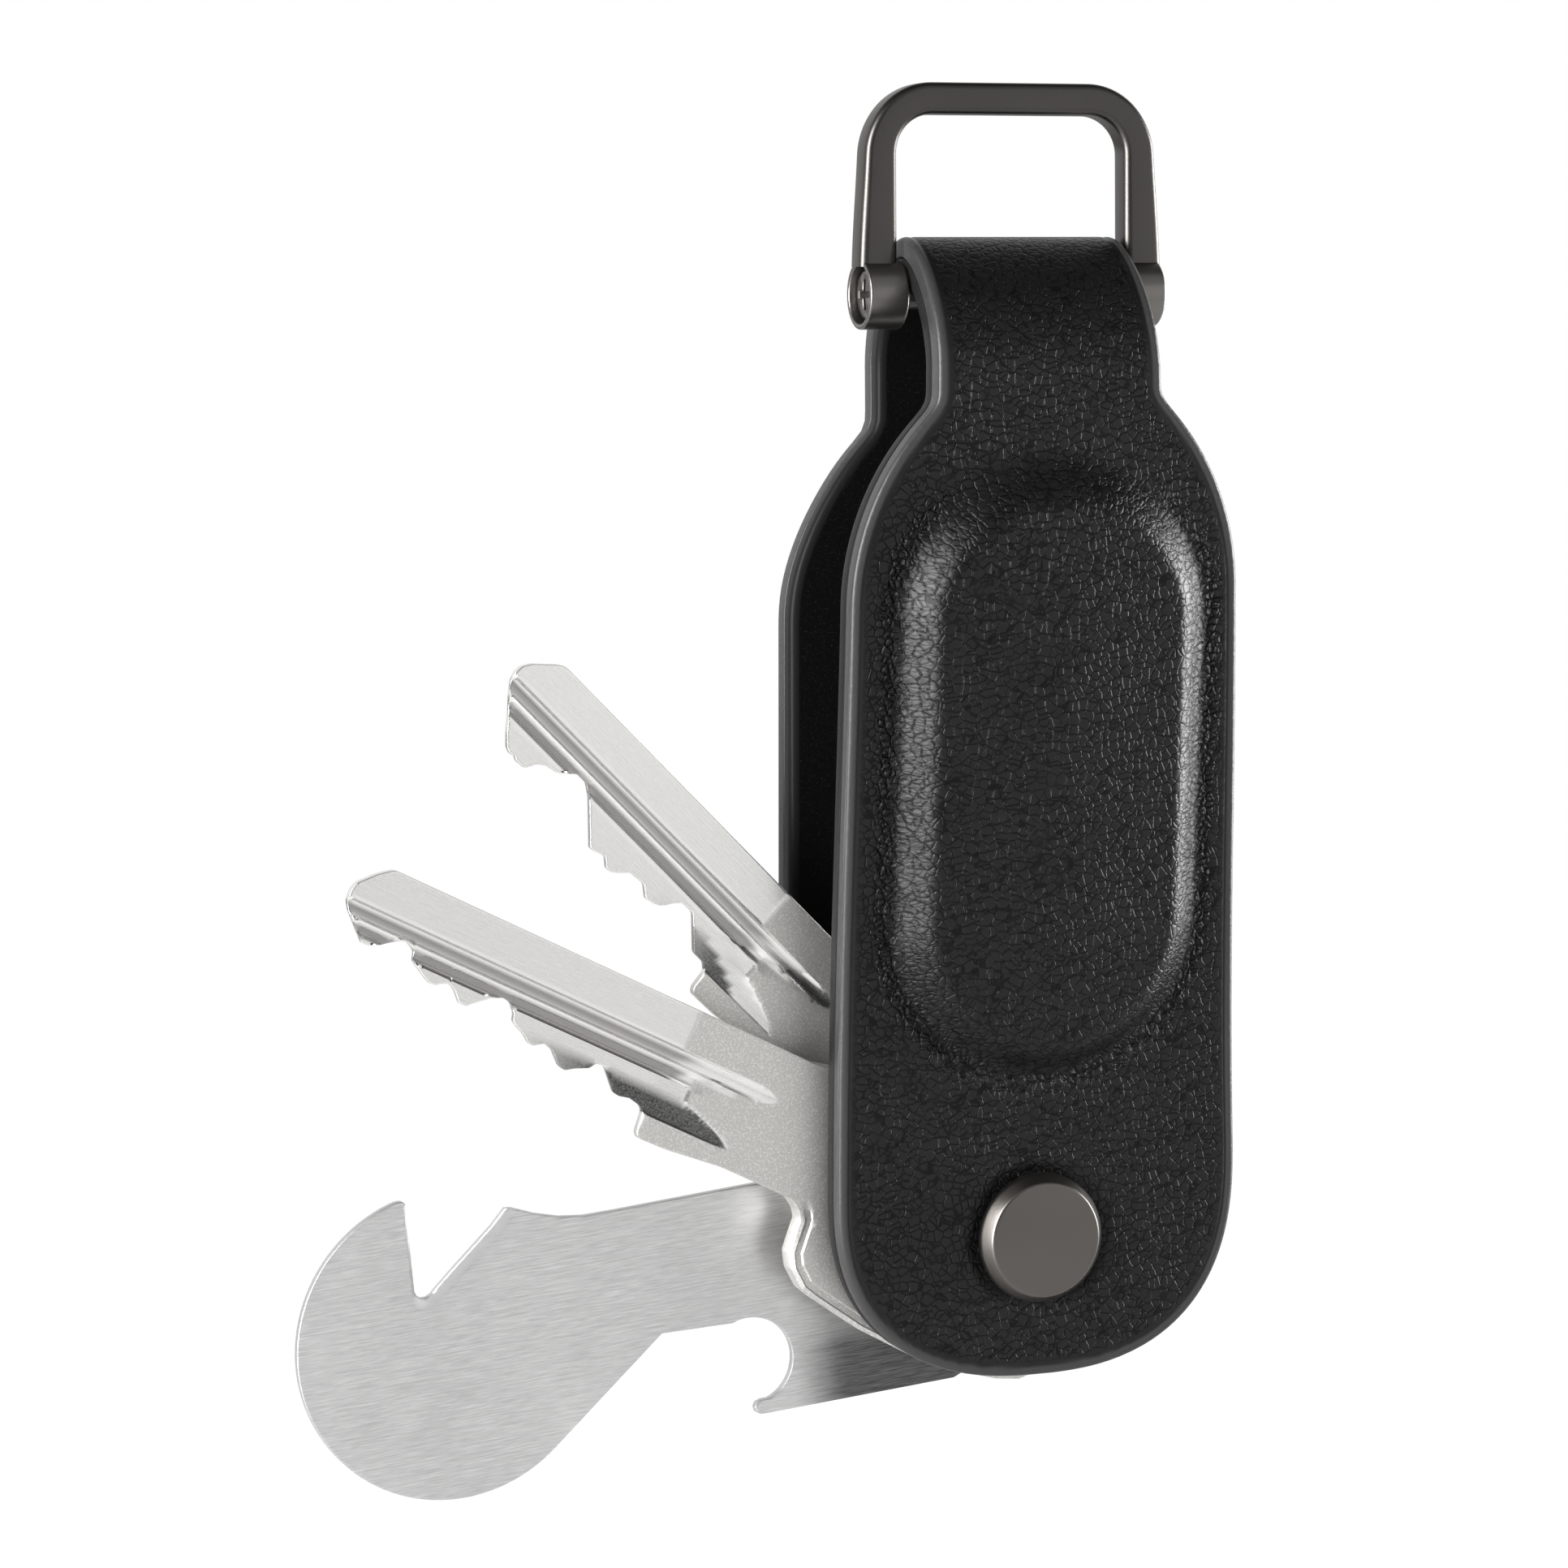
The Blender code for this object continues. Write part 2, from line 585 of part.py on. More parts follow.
def tool_plate(material):
    made = plate("tool_plate", tool_outline(), TOOL_THICKNESS, parts, material)
    hole = as_cutter(rod("tool_hole", boreRadius, (0, -TOOL_THICKNESS, 0), (0, TOOL_THICKNESS, 0), cutters))
    hole.parent = made
    combine(made, hole, "DIFFERENCE")
    made.location.y = toolY + TOOL_THICKNESS / 2
    made.rotation_euler.y = -math.radians(TOOL_OPEN)
    return made


def d_ring(material):
    """A squared bow with a boss at each foot, drawn about the pin and hung on it."""
    inner = STRAP_HALF_WIDTH + RING_SIDE_CLEARANCE
    boss_inner = FOLD_HALF_WIDTH + RING_SIDE_CLEARANCE
    top, window = RING_TOP_ABOVE_PIN, RING_TOP_ABOVE_PIN - RING_TOP_BAR
    foot, head = inner + RING_LEG_FOOT_WIDTH, inner + RING_LEG_TOP_WIDTH
    outer = arc((head - RING_OUTER_CORNER, top - RING_OUTER_CORNER), RING_OUTER_CORNER, 0, 90, 8)
    hole = arc((inner - RING_INNER_CORNER, window - RING_INNER_CORNER), RING_INNER_CORNER, 90, 0, 6)
    half = [(foot, 0.0)] + outer
    hole_half = hole + [(inner, 0.0)]
    outline = half + [(-x, z) for x, z in reversed(half)]
    outline += [(-x, z) for x, z in reversed(hole_half)] + hole_half
    made = plate("d_ring", outline, RING_DEPTH, parts, material)
    round_off(made, RING_EDGE_ROUND)
    pocket_floor = foot - PIN_HEAD_SINK - PIN_HEAD_THICKNESS - PIN_POCKET_GAP
    for side, label in ((-1, "left"), (1, "right")):
        boss = rod(f"{label}_boss", BOSS_RADIUS, (side * boss_inner, 0, 0), (side * foot, 0, 0), cutters)
        round_off(boss, RING_EDGE_ROUND)
        combine(made, as_cutter(boss), "UNION")
    bore_end = foot - PIN_END_WALL
    bore = as_cutter(rod("pin_bore", PIN_HOLE_RADIUS, (-foot - MM, 0, 0), (bore_end, 0, 0), cutters, None, SMALL_STEPS))
    pocket = as_cutter(rod("head_pocket", PIN_POCKET_RADIUS, (-foot - MM, 0, 0), (-pocket_floor, 0, 0), cutters))
    for tool in (bore, pocket):
        combine(made, tool, "DIFFERENCE")
    for tool in [modifier.object for modifier in made.modifiers if modifier.type == "BOOLEAN"]:
        tool.parent = made
    made.location = (0, pinY, PIN_HEIGHT)
    smooth_round(made)
    return made


def ring_screw(material):
    """The cross-head screw through the left boss and the sleeve, threaded into the right boss."""
    foot = STRAP_HALF_WIDTH + RING_SIDE_CLEARANCE + RING_LEG_FOOT_WIDTH
    head = -foot + PIN_HEAD_SINK
    end = foot - PIN_END_WALL - PIN_POCKET_GAP
    made = rod("ring_screw", PIN_SCREW_RADIUS, (head + PIN_HEAD_THICKNESS / 2, 0, 0), (end, 0, 0), parts, material,
               SMALL_STEPS)
    disc = rod("screw_head", PIN_HEAD_RADIUS, (head, 0, 0), (head + PIN_HEAD_THICKNESS, 0, 0), cutters, None,
               SMALL_STEPS)
    combine(made, as_cutter(disc), "UNION")
    tools = [disc]
    for label, size in (("upright", (CROSS_WIDTH, CROSS_LENGTH)), ("level", (CROSS_LENGTH, CROSS_WIDTH))):
        cross = as_cutter(box(f"{label}_slot", (2 * CROSS_DEPTH, *size), (head, 0, 0), cutters))
        combine(made, cross, "DIFFERENCE")
        tools.append(cross)
    for tool in tools:
        tool.parent = made
    made.location = (0, pinY, PIN_HEIGHT)
    smooth_round(made)
    return made


def ring_sleeve(material):
    end = FOLD_HALF_WIDTH + RING_SIDE_CLEARANCE / 2
    made = rod("ring_sleeve", SLEEVE_RADIUS, (-end, 0, 0), (end, 0, 0), parts, material, SMALL_STEPS)
    bore = as_cutter(rod("sleeve_bore", SLEEVE_BORE_RADIUS, (-end - MM, 0, 0), (end + MM, 0, 0), cutters, None,
                         SMALL_STEPS))
    bore.parent = made
    combine(made, bore, "DIFFERENCE")
    made.location = (0, pinY, PIN_HEIGHT)
    smooth_round(made)
    return made


clear_scene()
parts = new_collection("key_organizer")
cutters = new_collection("cutters")

black_leather = new_material("black_leather", (0.018, 0.018, 0.019), 0.5, 0.0)
lining_black = new_material("lining_black", (0.008, 0.008, 0.009), 0.6, 0.0)
foam = new_material("foam", (0.05, 0.05, 0.05), 0.8, 0.0)
gunmetal = new_material("gunmetal", (0.12, 0.11, 0.105), 0.35, 1.0)
nickel = new_material("nickel", (0.62, 0.61, 0.59), 0.35, 1.0)
brushed = new_material("brushed", (0.55, 0.55, 0.55), 0.38, 1.0)
spring = new_material("spring", (0.4, 0.4, 0.41), 0.3, 1.0)

post_hole = as_cutter(rod("post_hole", boreRadius, (0, -MM, 0), (0, screwHeadY + MM, 0), cutters))

leather_layer(
    "cover_leather", black_leather, 0.0, COVER_THICKNESS, [i / 8 for i in range(-8, 9)], COVER_STEP, True,
)
leather_layer(
    "lining_leather", lining_black, COVER_THICKNESS + GLUE_GAP, LINING_THICKNESS, [i / 2 for i in range(-2, 3)],
    LINING_STEP, False,
)
pad_core(foam)
pivot_post(gunmetal)
pivot_screw(gunmetal)
washer("front_washer", frontWasherY, spring)
washer("middle_washer", middleWasherY, spring)
washer("rear_washer", rearWasherY, spring)
wave_washer(spring)
key("key_front", CUTS_FRONT, keyFrontY, 0.0, KEY_FRONT_OPEN, nickel)
key("key_rear", CUTS_REAR, keyRearY, KEY_REAR_OFFSET, KEY_REAR_OPEN, nickel)
tool_plate(brushed)
d_ring(gunmetal)
ring_screw(gunmetal)
ring_sleeve(spring)
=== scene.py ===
import math

import bmesh
import bpy
import numpy as np
from mathutils import Matrix, Vector
from mathutils.geometry import delaunay_2d_cdt


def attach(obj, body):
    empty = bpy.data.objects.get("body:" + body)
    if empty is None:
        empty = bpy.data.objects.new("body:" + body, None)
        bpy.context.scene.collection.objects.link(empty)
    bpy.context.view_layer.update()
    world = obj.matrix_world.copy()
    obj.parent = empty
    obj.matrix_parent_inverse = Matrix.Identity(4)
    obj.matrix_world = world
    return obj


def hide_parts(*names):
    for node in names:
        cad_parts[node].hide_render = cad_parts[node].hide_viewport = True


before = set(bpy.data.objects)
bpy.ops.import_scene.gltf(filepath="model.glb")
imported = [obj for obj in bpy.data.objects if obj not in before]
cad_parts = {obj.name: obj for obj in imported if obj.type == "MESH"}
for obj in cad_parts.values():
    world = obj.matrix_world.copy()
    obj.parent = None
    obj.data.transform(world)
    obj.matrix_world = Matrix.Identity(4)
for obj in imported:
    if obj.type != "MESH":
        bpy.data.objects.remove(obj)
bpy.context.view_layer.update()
mm = 0.001


# nodes as expressions

class Number:
    # wraps a number socket, so that + - * / make the Math nodes
    def __init__(self, sheet, socket):
        self.sheet = sheet
        self.socket = socket

    def math(self, operation, *others):
        return self.sheet.add("ShaderNodeMath", {"operation": operation}, [self, *others])

    def __add__(self, other):
        return self.math("ADD", other)

    def __sub__(self, other):
        return self.math("SUBTRACT", other)

    def __rsub__(self, other):
        return self.sheet.add("ShaderNodeMath", {"operation": "SUBTRACT"}, [other, self])

    def __mul__(self, other):
        return self.math("MULTIPLY", other)

    def __truediv__(self, other):
        return self.math("DIVIDE", other)

    __radd__ = __add__
    __rmul__ = __mul__

    def between(self, low, high):
        # 0 below low, 1 above high, eased in between
        return self.sheet.add(
            "ShaderNodeMapRange", {"interpolation_type": "SMOOTHSTEP"},
            {"Value": self, "From Min": low, "From Max": high},
        )


class Tree:
    # any node tree; add() makes every node in it
    def __init__(self, tree):
        self.tree = tree

    def add(self, kind, settings=None, sockets=None, out=0):
        node = self.tree.nodes.new(kind)
        for key, value in (settings or {}).items():
            setattr(node, key, value)
        pairs = enumerate(sockets) if isinstance(sockets, list) else (sockets or {}).items()
        for key, value in pairs:
            self.put(node.inputs[key], value)
        return Number(self, node.outputs[out])

    def put(self, socket, value):
        if isinstance(value, Number):
            self.tree.links.new(value.socket, socket)
        elif isinstance(value, tuple) and len(value) == 3 and socket.type == "RGBA":
            socket.default_value = (*value, 1.0)
        else:
            socket.default_value = value

    def part(self, vector, axis):
        return self.add("ShaderNodeSeparateXYZ", {}, {0: vector}, out=axis)

    def vector(self, x, y, z):
        return self.add("ShaderNodeCombineXYZ", {}, [x, y, z])

    def vectorMath(self, operation, *values):
        return self.add("ShaderNodeVectorMath", {"operation": operation}, list(values))


class Sheet(Tree):
    # one material's nodes
    def __init__(self, name, **fixed):
        self.material = bpy.data.materials.new(name)
        self.material.use_nodes = True
        super().__init__(self.material.node_tree)
        self.shader = self.tree.nodes["Principled BSDF"]
        self.set(**fixed)

    def set(self, **values):
        for socket, value in values.items():
            self.put(self.shader.inputs[socket.replace("_", " ")], value)
        return self.material

    def place(self, stretch=(1.0, 1.0, 1.0), name=None):
        # object coordinates, or a named attribute's, stretched
        if name:
            start = self.add("ShaderNodeAttribute", {"attribute_name": name}, out="Vector")
        else:
            start = self.add("ShaderNodeTexCoord", out="Object")
        return self.add("ShaderNodeMapping", {}, {"Vector": start, "Scale": stretch})

    def mask(self, name):
        return self.add("ShaderNodeAttribute", {"attribute_name": name}, out="Fac")

    def noise(self, place, scale, detail=3.0, roughness=0.5, out=0):
        sockets = {"Vector": place, "Scale": scale, "Detail": detail, "Roughness": roughness}
        return self.add("ShaderNodeTexNoise", {}, sockets, out)

    def cells(self, place, scale):
        # 0 on the lines between the cells
        sockets = {"Vector": place, "Scale": scale}
        return self.add("ShaderNodeTexVoronoi", {"feature": "DISTANCE_TO_EDGE"}, sockets)

    def blend(self, factor, first, second):
        # first where factor is 0, second where it is 1, both colours
        return self.add("ShaderNodeMix", {"data_type": "RGBA"}, {0: factor, 6: first, 7: second}, out=2)

    def bump(self, height, distance):
        return self.add("ShaderNodeBump", {}, {"Height": height, "Distance": distance})

    def nudged(self, place, scale, amount):
        # a place pushed about by a soft noise
        push = self.noise(place, scale, 2.0, out="Color")
        centred = self.vectorMath("SUBTRACT", push, (0.5, 0.5, 0.5))
        scaled = self.vectorMath("MULTIPLY", centred, (amount, amount, amount))
        return self.vectorMath("ADD", place, scaled)


class Steps(Tree):
    # a geometry node tree with named inputs, run once on a piece
    def __init__(self, name, **values):
        super().__init__(bpy.data.node_groups.new(name, "GeometryNodeTree"))
        face = self.tree.interface
        face.new_socket("Geometry", in_out="INPUT", socket_type="NodeSocketGeometry")
        face.new_socket("Geometry", in_out="OUTPUT", socket_type="NodeSocketGeometry")
        self.values = values
        self.sockets = {}
        for key in values:
            socket = face.new_socket(key, in_out="INPUT", socket_type="NodeSocketFloat")
            self.sockets[key] = socket.identifier
        self.start = self.tree.nodes.new("NodeGroupInput")

    def given(self, name):
        return Number(self, self.start.outputs[name])

    def mask(self, name, kind="FLOAT"):
        return self.add("GeometryNodeInputNamedAttribute", {"data_type": kind}, {"Name": name})

    def store(self, geometry, name, value):
        return self.add(
            "GeometryNodeStoreNamedAttribute", {"data_type": "FLOAT", "domain": "POINT"},
            {"Geometry": geometry, "Name": name, "Value": value},
        )

    def run(self, piece, geometry, material):
        real = self.add("GeometryNodeRealizeInstances", {}, [geometry])
        painted = self.add("GeometryNodeSetMaterial", {}, {"Geometry": real, "Material": material})
        end = self.tree.nodes.new("NodeGroupOutput")
        self.put(end.inputs[0], painted)
        modifier = piece.modifiers.new("Steps", "NODES")
        modifier.node_group = self.tree
        for name, value in self.values.items():
            modifier[self.sockets[name]] = float(value)
        return applied(piece, modifier)


def applied(piece, modifier):
    # works a modifier into the piece's own mesh
    bpy.context.view_layer.update()
    evaluated = piece.evaluated_get(bpy.context.evaluated_depsgraph_get())
    made = bpy.data.meshes.new_from_object(evaluated)
    piece.modifiers.remove(modifier)
    piece.data = made
    return piece


# finishes; a noise's scale is per metre

def grey(value):
    return (value, value, value)


grain = {
    "cell": 0.66 * mm, "line": 0.15, "depth": 0.037 * mm, "satin": 0.31, "rough": 0.29,
    "shade": 0.0026, "linePaintedShade": 0.0008, "crackPaintedShade": 0.0004, "edge": (0.031, 0.031, 0.0315),
}


def coverLeather():
    sheet = Sheet("pebbledLeather", IOR=1.45, Specular_IOR_Level=0.19, Coat_Roughness=0.36)
    edge, crease, slope = sheet.mask("edge"), sheet.mask("crease"), sheet.mask("slope")
    place, perMetre = sheet.place(name="skin"), 1.0 / grain["cell"]
    wide = sheet.cells(sheet.nudged(place, 1400.0, 0.34 * mm), perMetre)
    fade = sheet.noise(place, 420.0, 2.0).between(0.24, 0.50)
    cell = (1.0 - wide.between(0.0, grain["line"])) * (fade * 0.35 + 0.65) * (1.0 - slope * 0.35)
    # stretched skin wrinkles across the slopes and the fold
    stretched = sheet.place((0.75, 1.6, 1.0), "skin")
    drawn = sheet.cells(sheet.nudged(stretched, 1100.0, 0.45 * mm), perMetre)
    wrinkle = (1.0 - drawn.between(0.0, 0.18)) * slope * (fade * 0.3 + 0.3)
    # torn skin in a chain round the foot of the pad
    torn = sheet.cells(sheet.nudged(place, 1500.0, 0.28 * mm), 1500.0)
    crack = (1.0 - torn.between(0.02, 0.19)) * crease
    crumb = torn.between(0.05, 0.45) * crease
    pore = sheet.noise(place, 6000.0, 2.0)
    tone = sheet.noise(place, 160.0, 3.0)
    line = (cell + wrinkle) * (1.0 - sheet.mask("calm"))
    shade = grain["shade"]
    face = sheet.blend(tone, grey(shade), (shade * 1.7, shade * 1.7, shade * 1.75))
    # the grain lines and the cracks are darkened as painted shade in them
    lined = sheet.blend(line * 0.7, face, grey(grain["linePaintedShade"]))
    cracked = sheet.blend(crack, lined, grey(grain["crackPaintedShade"]))
    colour = sheet.blend(edge, cracked, grain["edge"])
    dome = wide.between(0.0, 0.45) * 0.5
    height = pore * 0.3 + tone * 0.7 + dome - line * 1.15 + crumb * 2.0 - crack * 5.0
    # the satin coat is left out of the grain lines and cracks, which darkens them as painted shade
    satin = (1.0 - (line + crack).math("MINIMUM", 1.0)) * grain["satin"]
    rough = grain["rough"] + tone * 0.08 + slope * 0.06 + crack * 0.3
    bump = sheet.bump(height, grain["depth"])
    return sheet.set(Base_Color=colour, Roughness=rough, Coat_Weight=satin, Normal=bump)


smoothSkin = {
    "shade": (0.0012, 0.0012, 0.0013), "fleck": grey(0.012), "edge": (0.010, 0.010, 0.0103),
    "rough": 0.56, "pore": 0.008 * mm,
}


def liningLeather():
    sheet = Sheet("smoothLining", IOR=1.45, Specular_IOR_Level=0.08)
    edge = sheet.mask("edge")
    place = sheet.place(name="skin")
    fleck = sheet.noise(place, 7000.0, 1.0).between(0.62, 0.72)
    inside = sheet.blend(fleck, smoothSkin["shade"], smoothSkin["fleck"])
    return sheet.set(
        Base_Color=sheet.blend(edge, inside, smoothSkin["edge"]),
        Roughness=smoothSkin["rough"] - edge * 0.20,
        Normal=sheet.bump(sheet.noise(place, 3800.0, 2.0), smoothSkin["pore"]),
    )


def gunmetal(name, colour, roughness):
    sheet = Sheet(name, Metallic=1.0)
    place = sheet.place()
    tone = sheet.noise(place, 160.0, 3.0)
    dust = sheet.noise(place, 9000.0, 2.0)
    darker = tuple(c * 0.86 for c in colour)
    return sheet.set(
        Base_Color=sheet.blend(tone, darker, colour),
        Roughness=roughness + tone * 0.08,
        Normal=sheet.bump(dust, 0.004 * mm),
    )


# each pair of colours is mixed by the finish's own streaks
# the groove colour is painted shade for the deepest parts of the grooves
# the near-black colour goes on a wedge at the land's start
keyMetal = {
    "milled": ((0.95, 0.94, 0.92), (0.85, 0.84, 0.82)), "groove": (0.40, 0.39, 0.38),
    "bow": ((0.58, 0.57, 0.55), (0.74, 0.73, 0.71)), "darkWedge": grey(0.05), "rough": 0.22, "depth": 0.02 * mm,
}


def nickel():
    sheet = Sheet("nickelPlate", Metallic=1.0)
    cast, groove, darkWedge = sheet.mask("cast"), sheet.mask("groove"), sheet.mask("darkWedge")
    place = sheet.place(name="blade")
    drawn = sheet.noise(sheet.place((36.0, 36.0, 1.0), "blade"), 120.0, 3.0, 0.6)
    worm = sheet.noise(sheet.nudged(place, 3500.0, 0.3 * mm), 6500.0, 2.0)
    tone = sheet.noise(place, 90.0, 3.0)
    milled = sheet.blend(drawn * 0.5 + tone * 0.3, *keyMetal["milled"])
    # the deep parts of the grooves are darkened as painted shade
    deep = sheet.blend(groove, milled, keyMetal["groove"])
    bow = sheet.blend(worm.between(0.50, 0.62), *keyMetal["bow"])
    # the wedge mask darkens its metal to near black
    colour = sheet.blend(darkWedge * (worm * 0.5 + 0.65), sheet.blend(cast, deep, bow), keyMetal["darkWedge"])
    height = drawn * 0.10 * (1.0 - cast) + worm * 0.75 * cast
    return sheet.set(
        Base_Color=colour,
        Roughness=keyMetal["rough"] + drawn * 0.10 + cast * 0.22,
        Normal=sheet.bump(height, keyMetal["depth"]),
    )


# the second pair of colours is a painted shade near the post, where the leather shades the tool and darkens
# its reflection
toolMetal = {
    "face": (grey(0.54), (0.78, 0.78, 0.775)), "dim": (grey(0.07), grey(0.19)), "polished": grey(0.80),
    "rough": 0.34, "depth": 0.010 * mm,
}


def brushedSteel():
    sheet = Sheet("brushedSheet", Metallic=1.0)
    streak = sheet.noise(sheet.place((30.0, 30.0, 1.0), "blade"), 240.0, 3.0, 0.6)
    fine = sheet.noise(sheet.place((18.0, 18.0, 1.0), "blade"), 650.0, 2.0, 0.6)
    tone = sheet.noise(sheet.place(name="blade"), 60.0, 2.0)
    # the second mask is painted shade near the post, where the leather shades the plate
    polished, dim = sheet.mask("polished"), sheet.mask("dim")
    mixed = (streak * 0.45 + fine * 0.4 + tone * 0.2).between(0.36, 0.70)
    face, shadedFace = sheet.blend(mixed, *toolMetal["face"]), sheet.blend(mixed, *toolMetal["dim"])
    return sheet.set(
        Base_Color=sheet.blend(polished, sheet.blend(dim, face, shadedFace), toolMetal["polished"]),
        Roughness=toolMetal["rough"] + fine * 0.12,
        Normal=sheet.bump((streak + fine) * (1.0 - polished), toolMetal["depth"]),
    )


def plainSteel():
    sheet = Sheet("plainSteel", Metallic=1.0)
    tone = sheet.noise(sheet.place(), 400.0, 3.0)
    return sheet.set(
        Base_Color=sheet.blend(tone, (0.36, 0.36, 0.37), (0.46, 0.46, 0.47)),
        Roughness=0.28 + tone * 0.12,
        Normal=sheet.bump(tone, 0.01 * mm),
    )


finish = {
    "cover": coverLeather(),
    "lining": liningLeather(),
    "ring": gunmetal("darkPlating", (0.088, 0.083, 0.079), 0.30),
    "button": gunmetal("buttonPlating", (0.155, 0.144, 0.134), 0.30),
    "screw": gunmetal("screwPlating", (0.22, 0.21, 0.20), 0.30),
    "nickel": nickel(),
    "brushed": brushedSteel(),
    "steel": plainSteel(),
}
print("finishes ready")


# mesh helpers; sizes are in mm, and a mesh's own points in metres

def addPiece(name, points, faces, material, smooth=True, sharp=None):
    mesh = bpy.data.meshes.new(name)
    mesh.from_pydata([tuple(p) for p in points], [], [tuple(int(i) for i in f) for f in faces])
    mesh.validate()
    mesh.materials.append(material)
    if smooth:
        mesh.shade_smooth()
    if sharp:
        mesh.set_sharp_from_angle(angle=math.radians(sharp))
    made = bpy.data.objects.new(name, mesh)
    bpy.context.scene.collection.objects.link(made)
    return made


def giveMask(piece, name, values):
    made = piece.data.attributes.new(name, "FLOAT", "POINT")
    made.data.foreach_set("value", np.asarray(values, np.float32))


def givePlace(piece, name, places):
    made = piece.data.attributes.new(name, "FLOAT_VECTOR", "POINT")
    made.data.foreach_set("vector", np.asarray(places, np.float32).ravel())


def settle(piece, body, slot, *nodes):
    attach(piece, body)
    if nodes:
        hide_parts(*nodes)
    return piece


def eased(values, low, high):
    share = np.clip((np.asarray(values, float) - low) / (high - low), 0.0, 1.0)
    return share * share * (3 - 2 * share)


def nearest(points, line):
    # least distance from each point to a closed line
    best = np.full(len(points), 1e9)
    for p, q in zip(line, np.roll(line, -1, axis=0)):
        d = q - p
        t = np.clip(((points - p) @ d) / max(d @ d, 1e-12), 0, 1)
        best = np.minimum(best, np.hypot(*(points - p - t[:, None] * d).T))
    return best


def outward(piece):
    # faces point outwards, shell by shell
    bm = bmesh.new()
    bm.from_mesh(piece.data)
    bmesh.ops.remove_doubles(bm, verts=bm.verts, dist=0.0005 * mm)
    bmesh.ops.recalc_face_normals(bm, faces=bm.faces)
    bm.to_mesh(piece.data)
    bm.free()
    return piece


def roundedCorner(before, at, after, radius, steps):
    before, at, after = Vector(before), Vector(at), Vector(after)
    cut = min(radius, (before - at).length * 0.45, (after - at).length * 0.45)
    first = at + (before - at).normalized() * cut
    last = at + (after - at).normalized() * cut
    shares = [i / steps for i in range(steps + 1)]
    return [tuple((1 - t) ** 2 * first + 2 * t * (1 - t) * at + t * t * last) for t in shares]


def roundedProfile(corners, radius, steps=4):
    # a turned piece's profile with every inner corner rounded
    made = [corners[0]]
    for before, at, after in zip(corners, corners[1:], corners[2:]):
        made += roundedCorner(before, at, after, radius, steps)
    return made + [corners[-1]]


def roundedOutline(points, radius, steps):
    # a closed outline with its corners rounded
    made = []
    for before, at, after in zip(points[-1:] + points[:-1], points, points[1:] + points[:1]):
        made += roundedCorner(before, at, after, radius, steps)
    return made


turnedOrder = {"X": (2, 0, 1), "Y": (1, 2, 0)}


def turned(profile, steps, axis, centre=(0.0, 0.0, 0.0)):
    # points and faces of a profile of (radius, along) turned about an axis through centre, closed
    # where the radius is 0
    points, faces, rings = [], [], []
    turns = [math.tau * i / steps for i in range(steps)]
    for radius, along in profile:
        first = len(points)
        if radius == 0:
            points.append((0.0, 0.0, along))
        else:
            points += [(radius * math.cos(a), radius * math.sin(a), along) for a in turns]
        rings.append(range(first, len(points)))
    for here, there in zip(rings, rings[1:]):
        for i in range(steps):
            j = (i + 1) % steps
            quad = [here[i % len(here)], here[j % len(here)], there[j % len(there)], there[i % len(there)]]
            face = [q for k, q in enumerate(quad) if q not in quad[:k]]
            if len(face) > 2:
                faces.append(tuple(face))
    order = turnedOrder[axis]
    return [tuple((p[k] + c) * mm for k, c in zip(order, centre)) for p in points], faces


def metalPiece(name, shells, material, sharp):
    # several closed shells, each given as its points and faces, as one piece
    points, faces = [], []
    for some, their in shells:
        first = len(points)
        points += some
        faces += [tuple(i + first for i in face) for face in their]
    return outward(addPiece(name, points, faces, material, sharp=sharp))


def carved(piece, cutters):
    # cuts boxes, given as centre and size, out of a piece
    corners = [(x, y, z) for x in (-0.5, 0.5) for y in (-0.5, 0.5) for z in (-0.5, 0.5)]
    quads = [(0, 1, 3, 2), (4, 6, 7, 5), (0, 4, 5, 1), (2, 3, 7, 6), (0, 2, 6, 4), (1, 5, 7, 3)]
    for centre, size in cutters:
        points = [tuple((c + k * s) * mm for c, k, s in zip(centre, corner, size)) for corner in corners]
        mesh = bpy.data.meshes.new("cut")
        mesh.from_pydata(points, [], quads)
        helper = bpy.data.objects.new("cut", mesh)
        bpy.context.scene.collection.objects.link(helper)
        modifier = piece.modifiers.new("Cut", "BOOLEAN")
        modifier.object = helper
        modifier.solver = "EXACT"
        applied(piece, modifier)
        bpy.data.objects.remove(helper)
    return piece


# the folded strap; pairs are left and right, from and to, or width and depth

strap = {
    "bottom": -10.8, "endRise": (14.3, 16.5), "squareness": (2.4, 2.5),
    "halfLow": (16.17, 16.7), "halfHigh": (15.85, 15.6),
    "shoulder": (48.5, 49.1), "shoulderRadius": 20.5, "neckHalf": 9.05, "neckSoft": 0.35,
    "frontFace": 1.6, "spread": 3.2, "spreadFrom": 4.0, "spreadOver": 58.0,
    "bow": 0.3, "unbowed": (50.0, 65.0),
    "rearFace": 15.7, "rearDrop": 2.1, "dropped": (20.0, 45.0), "rearNarrow": 0.5, "narrowed": (48.0, 58.0),
    "foldFrom": 66.0, "crest": 76.35, "foldHalf": 8.75, "sidePull": 5.0, "crestPull": 3.5,
    "creased": (64.0, 70.0), "cover": 1.56, "glue": 0.02, "lining": 1.5,
    "edgeRound": (0.50, 0.38), "seamRound": (0.16, 0.16), "innerRound": (0.5, 0.5), "painted": (0.60, 0.80),
    "calm": (0.95, 1.35), "lineAt": 0.80, "lineWide": 0.13, "lineDeep": 0.10,
    "frontStep": 0.40, "rearStep": 0.8, "foldSteps": 26,
}
pad = {
    "half": 12.75, "low": 12.2, "high": 60.5, "height": 2.3, "wall": 3.5, "topWall": 5.4, "across": 0.3,
    "crown": 0.5, "crackAt": -0.25, "crackWide": 0.75, "crackFades": 52.0, "crackGone": 60.0,
    "pressed": 0.3, "pressedTo": 6.1,
}


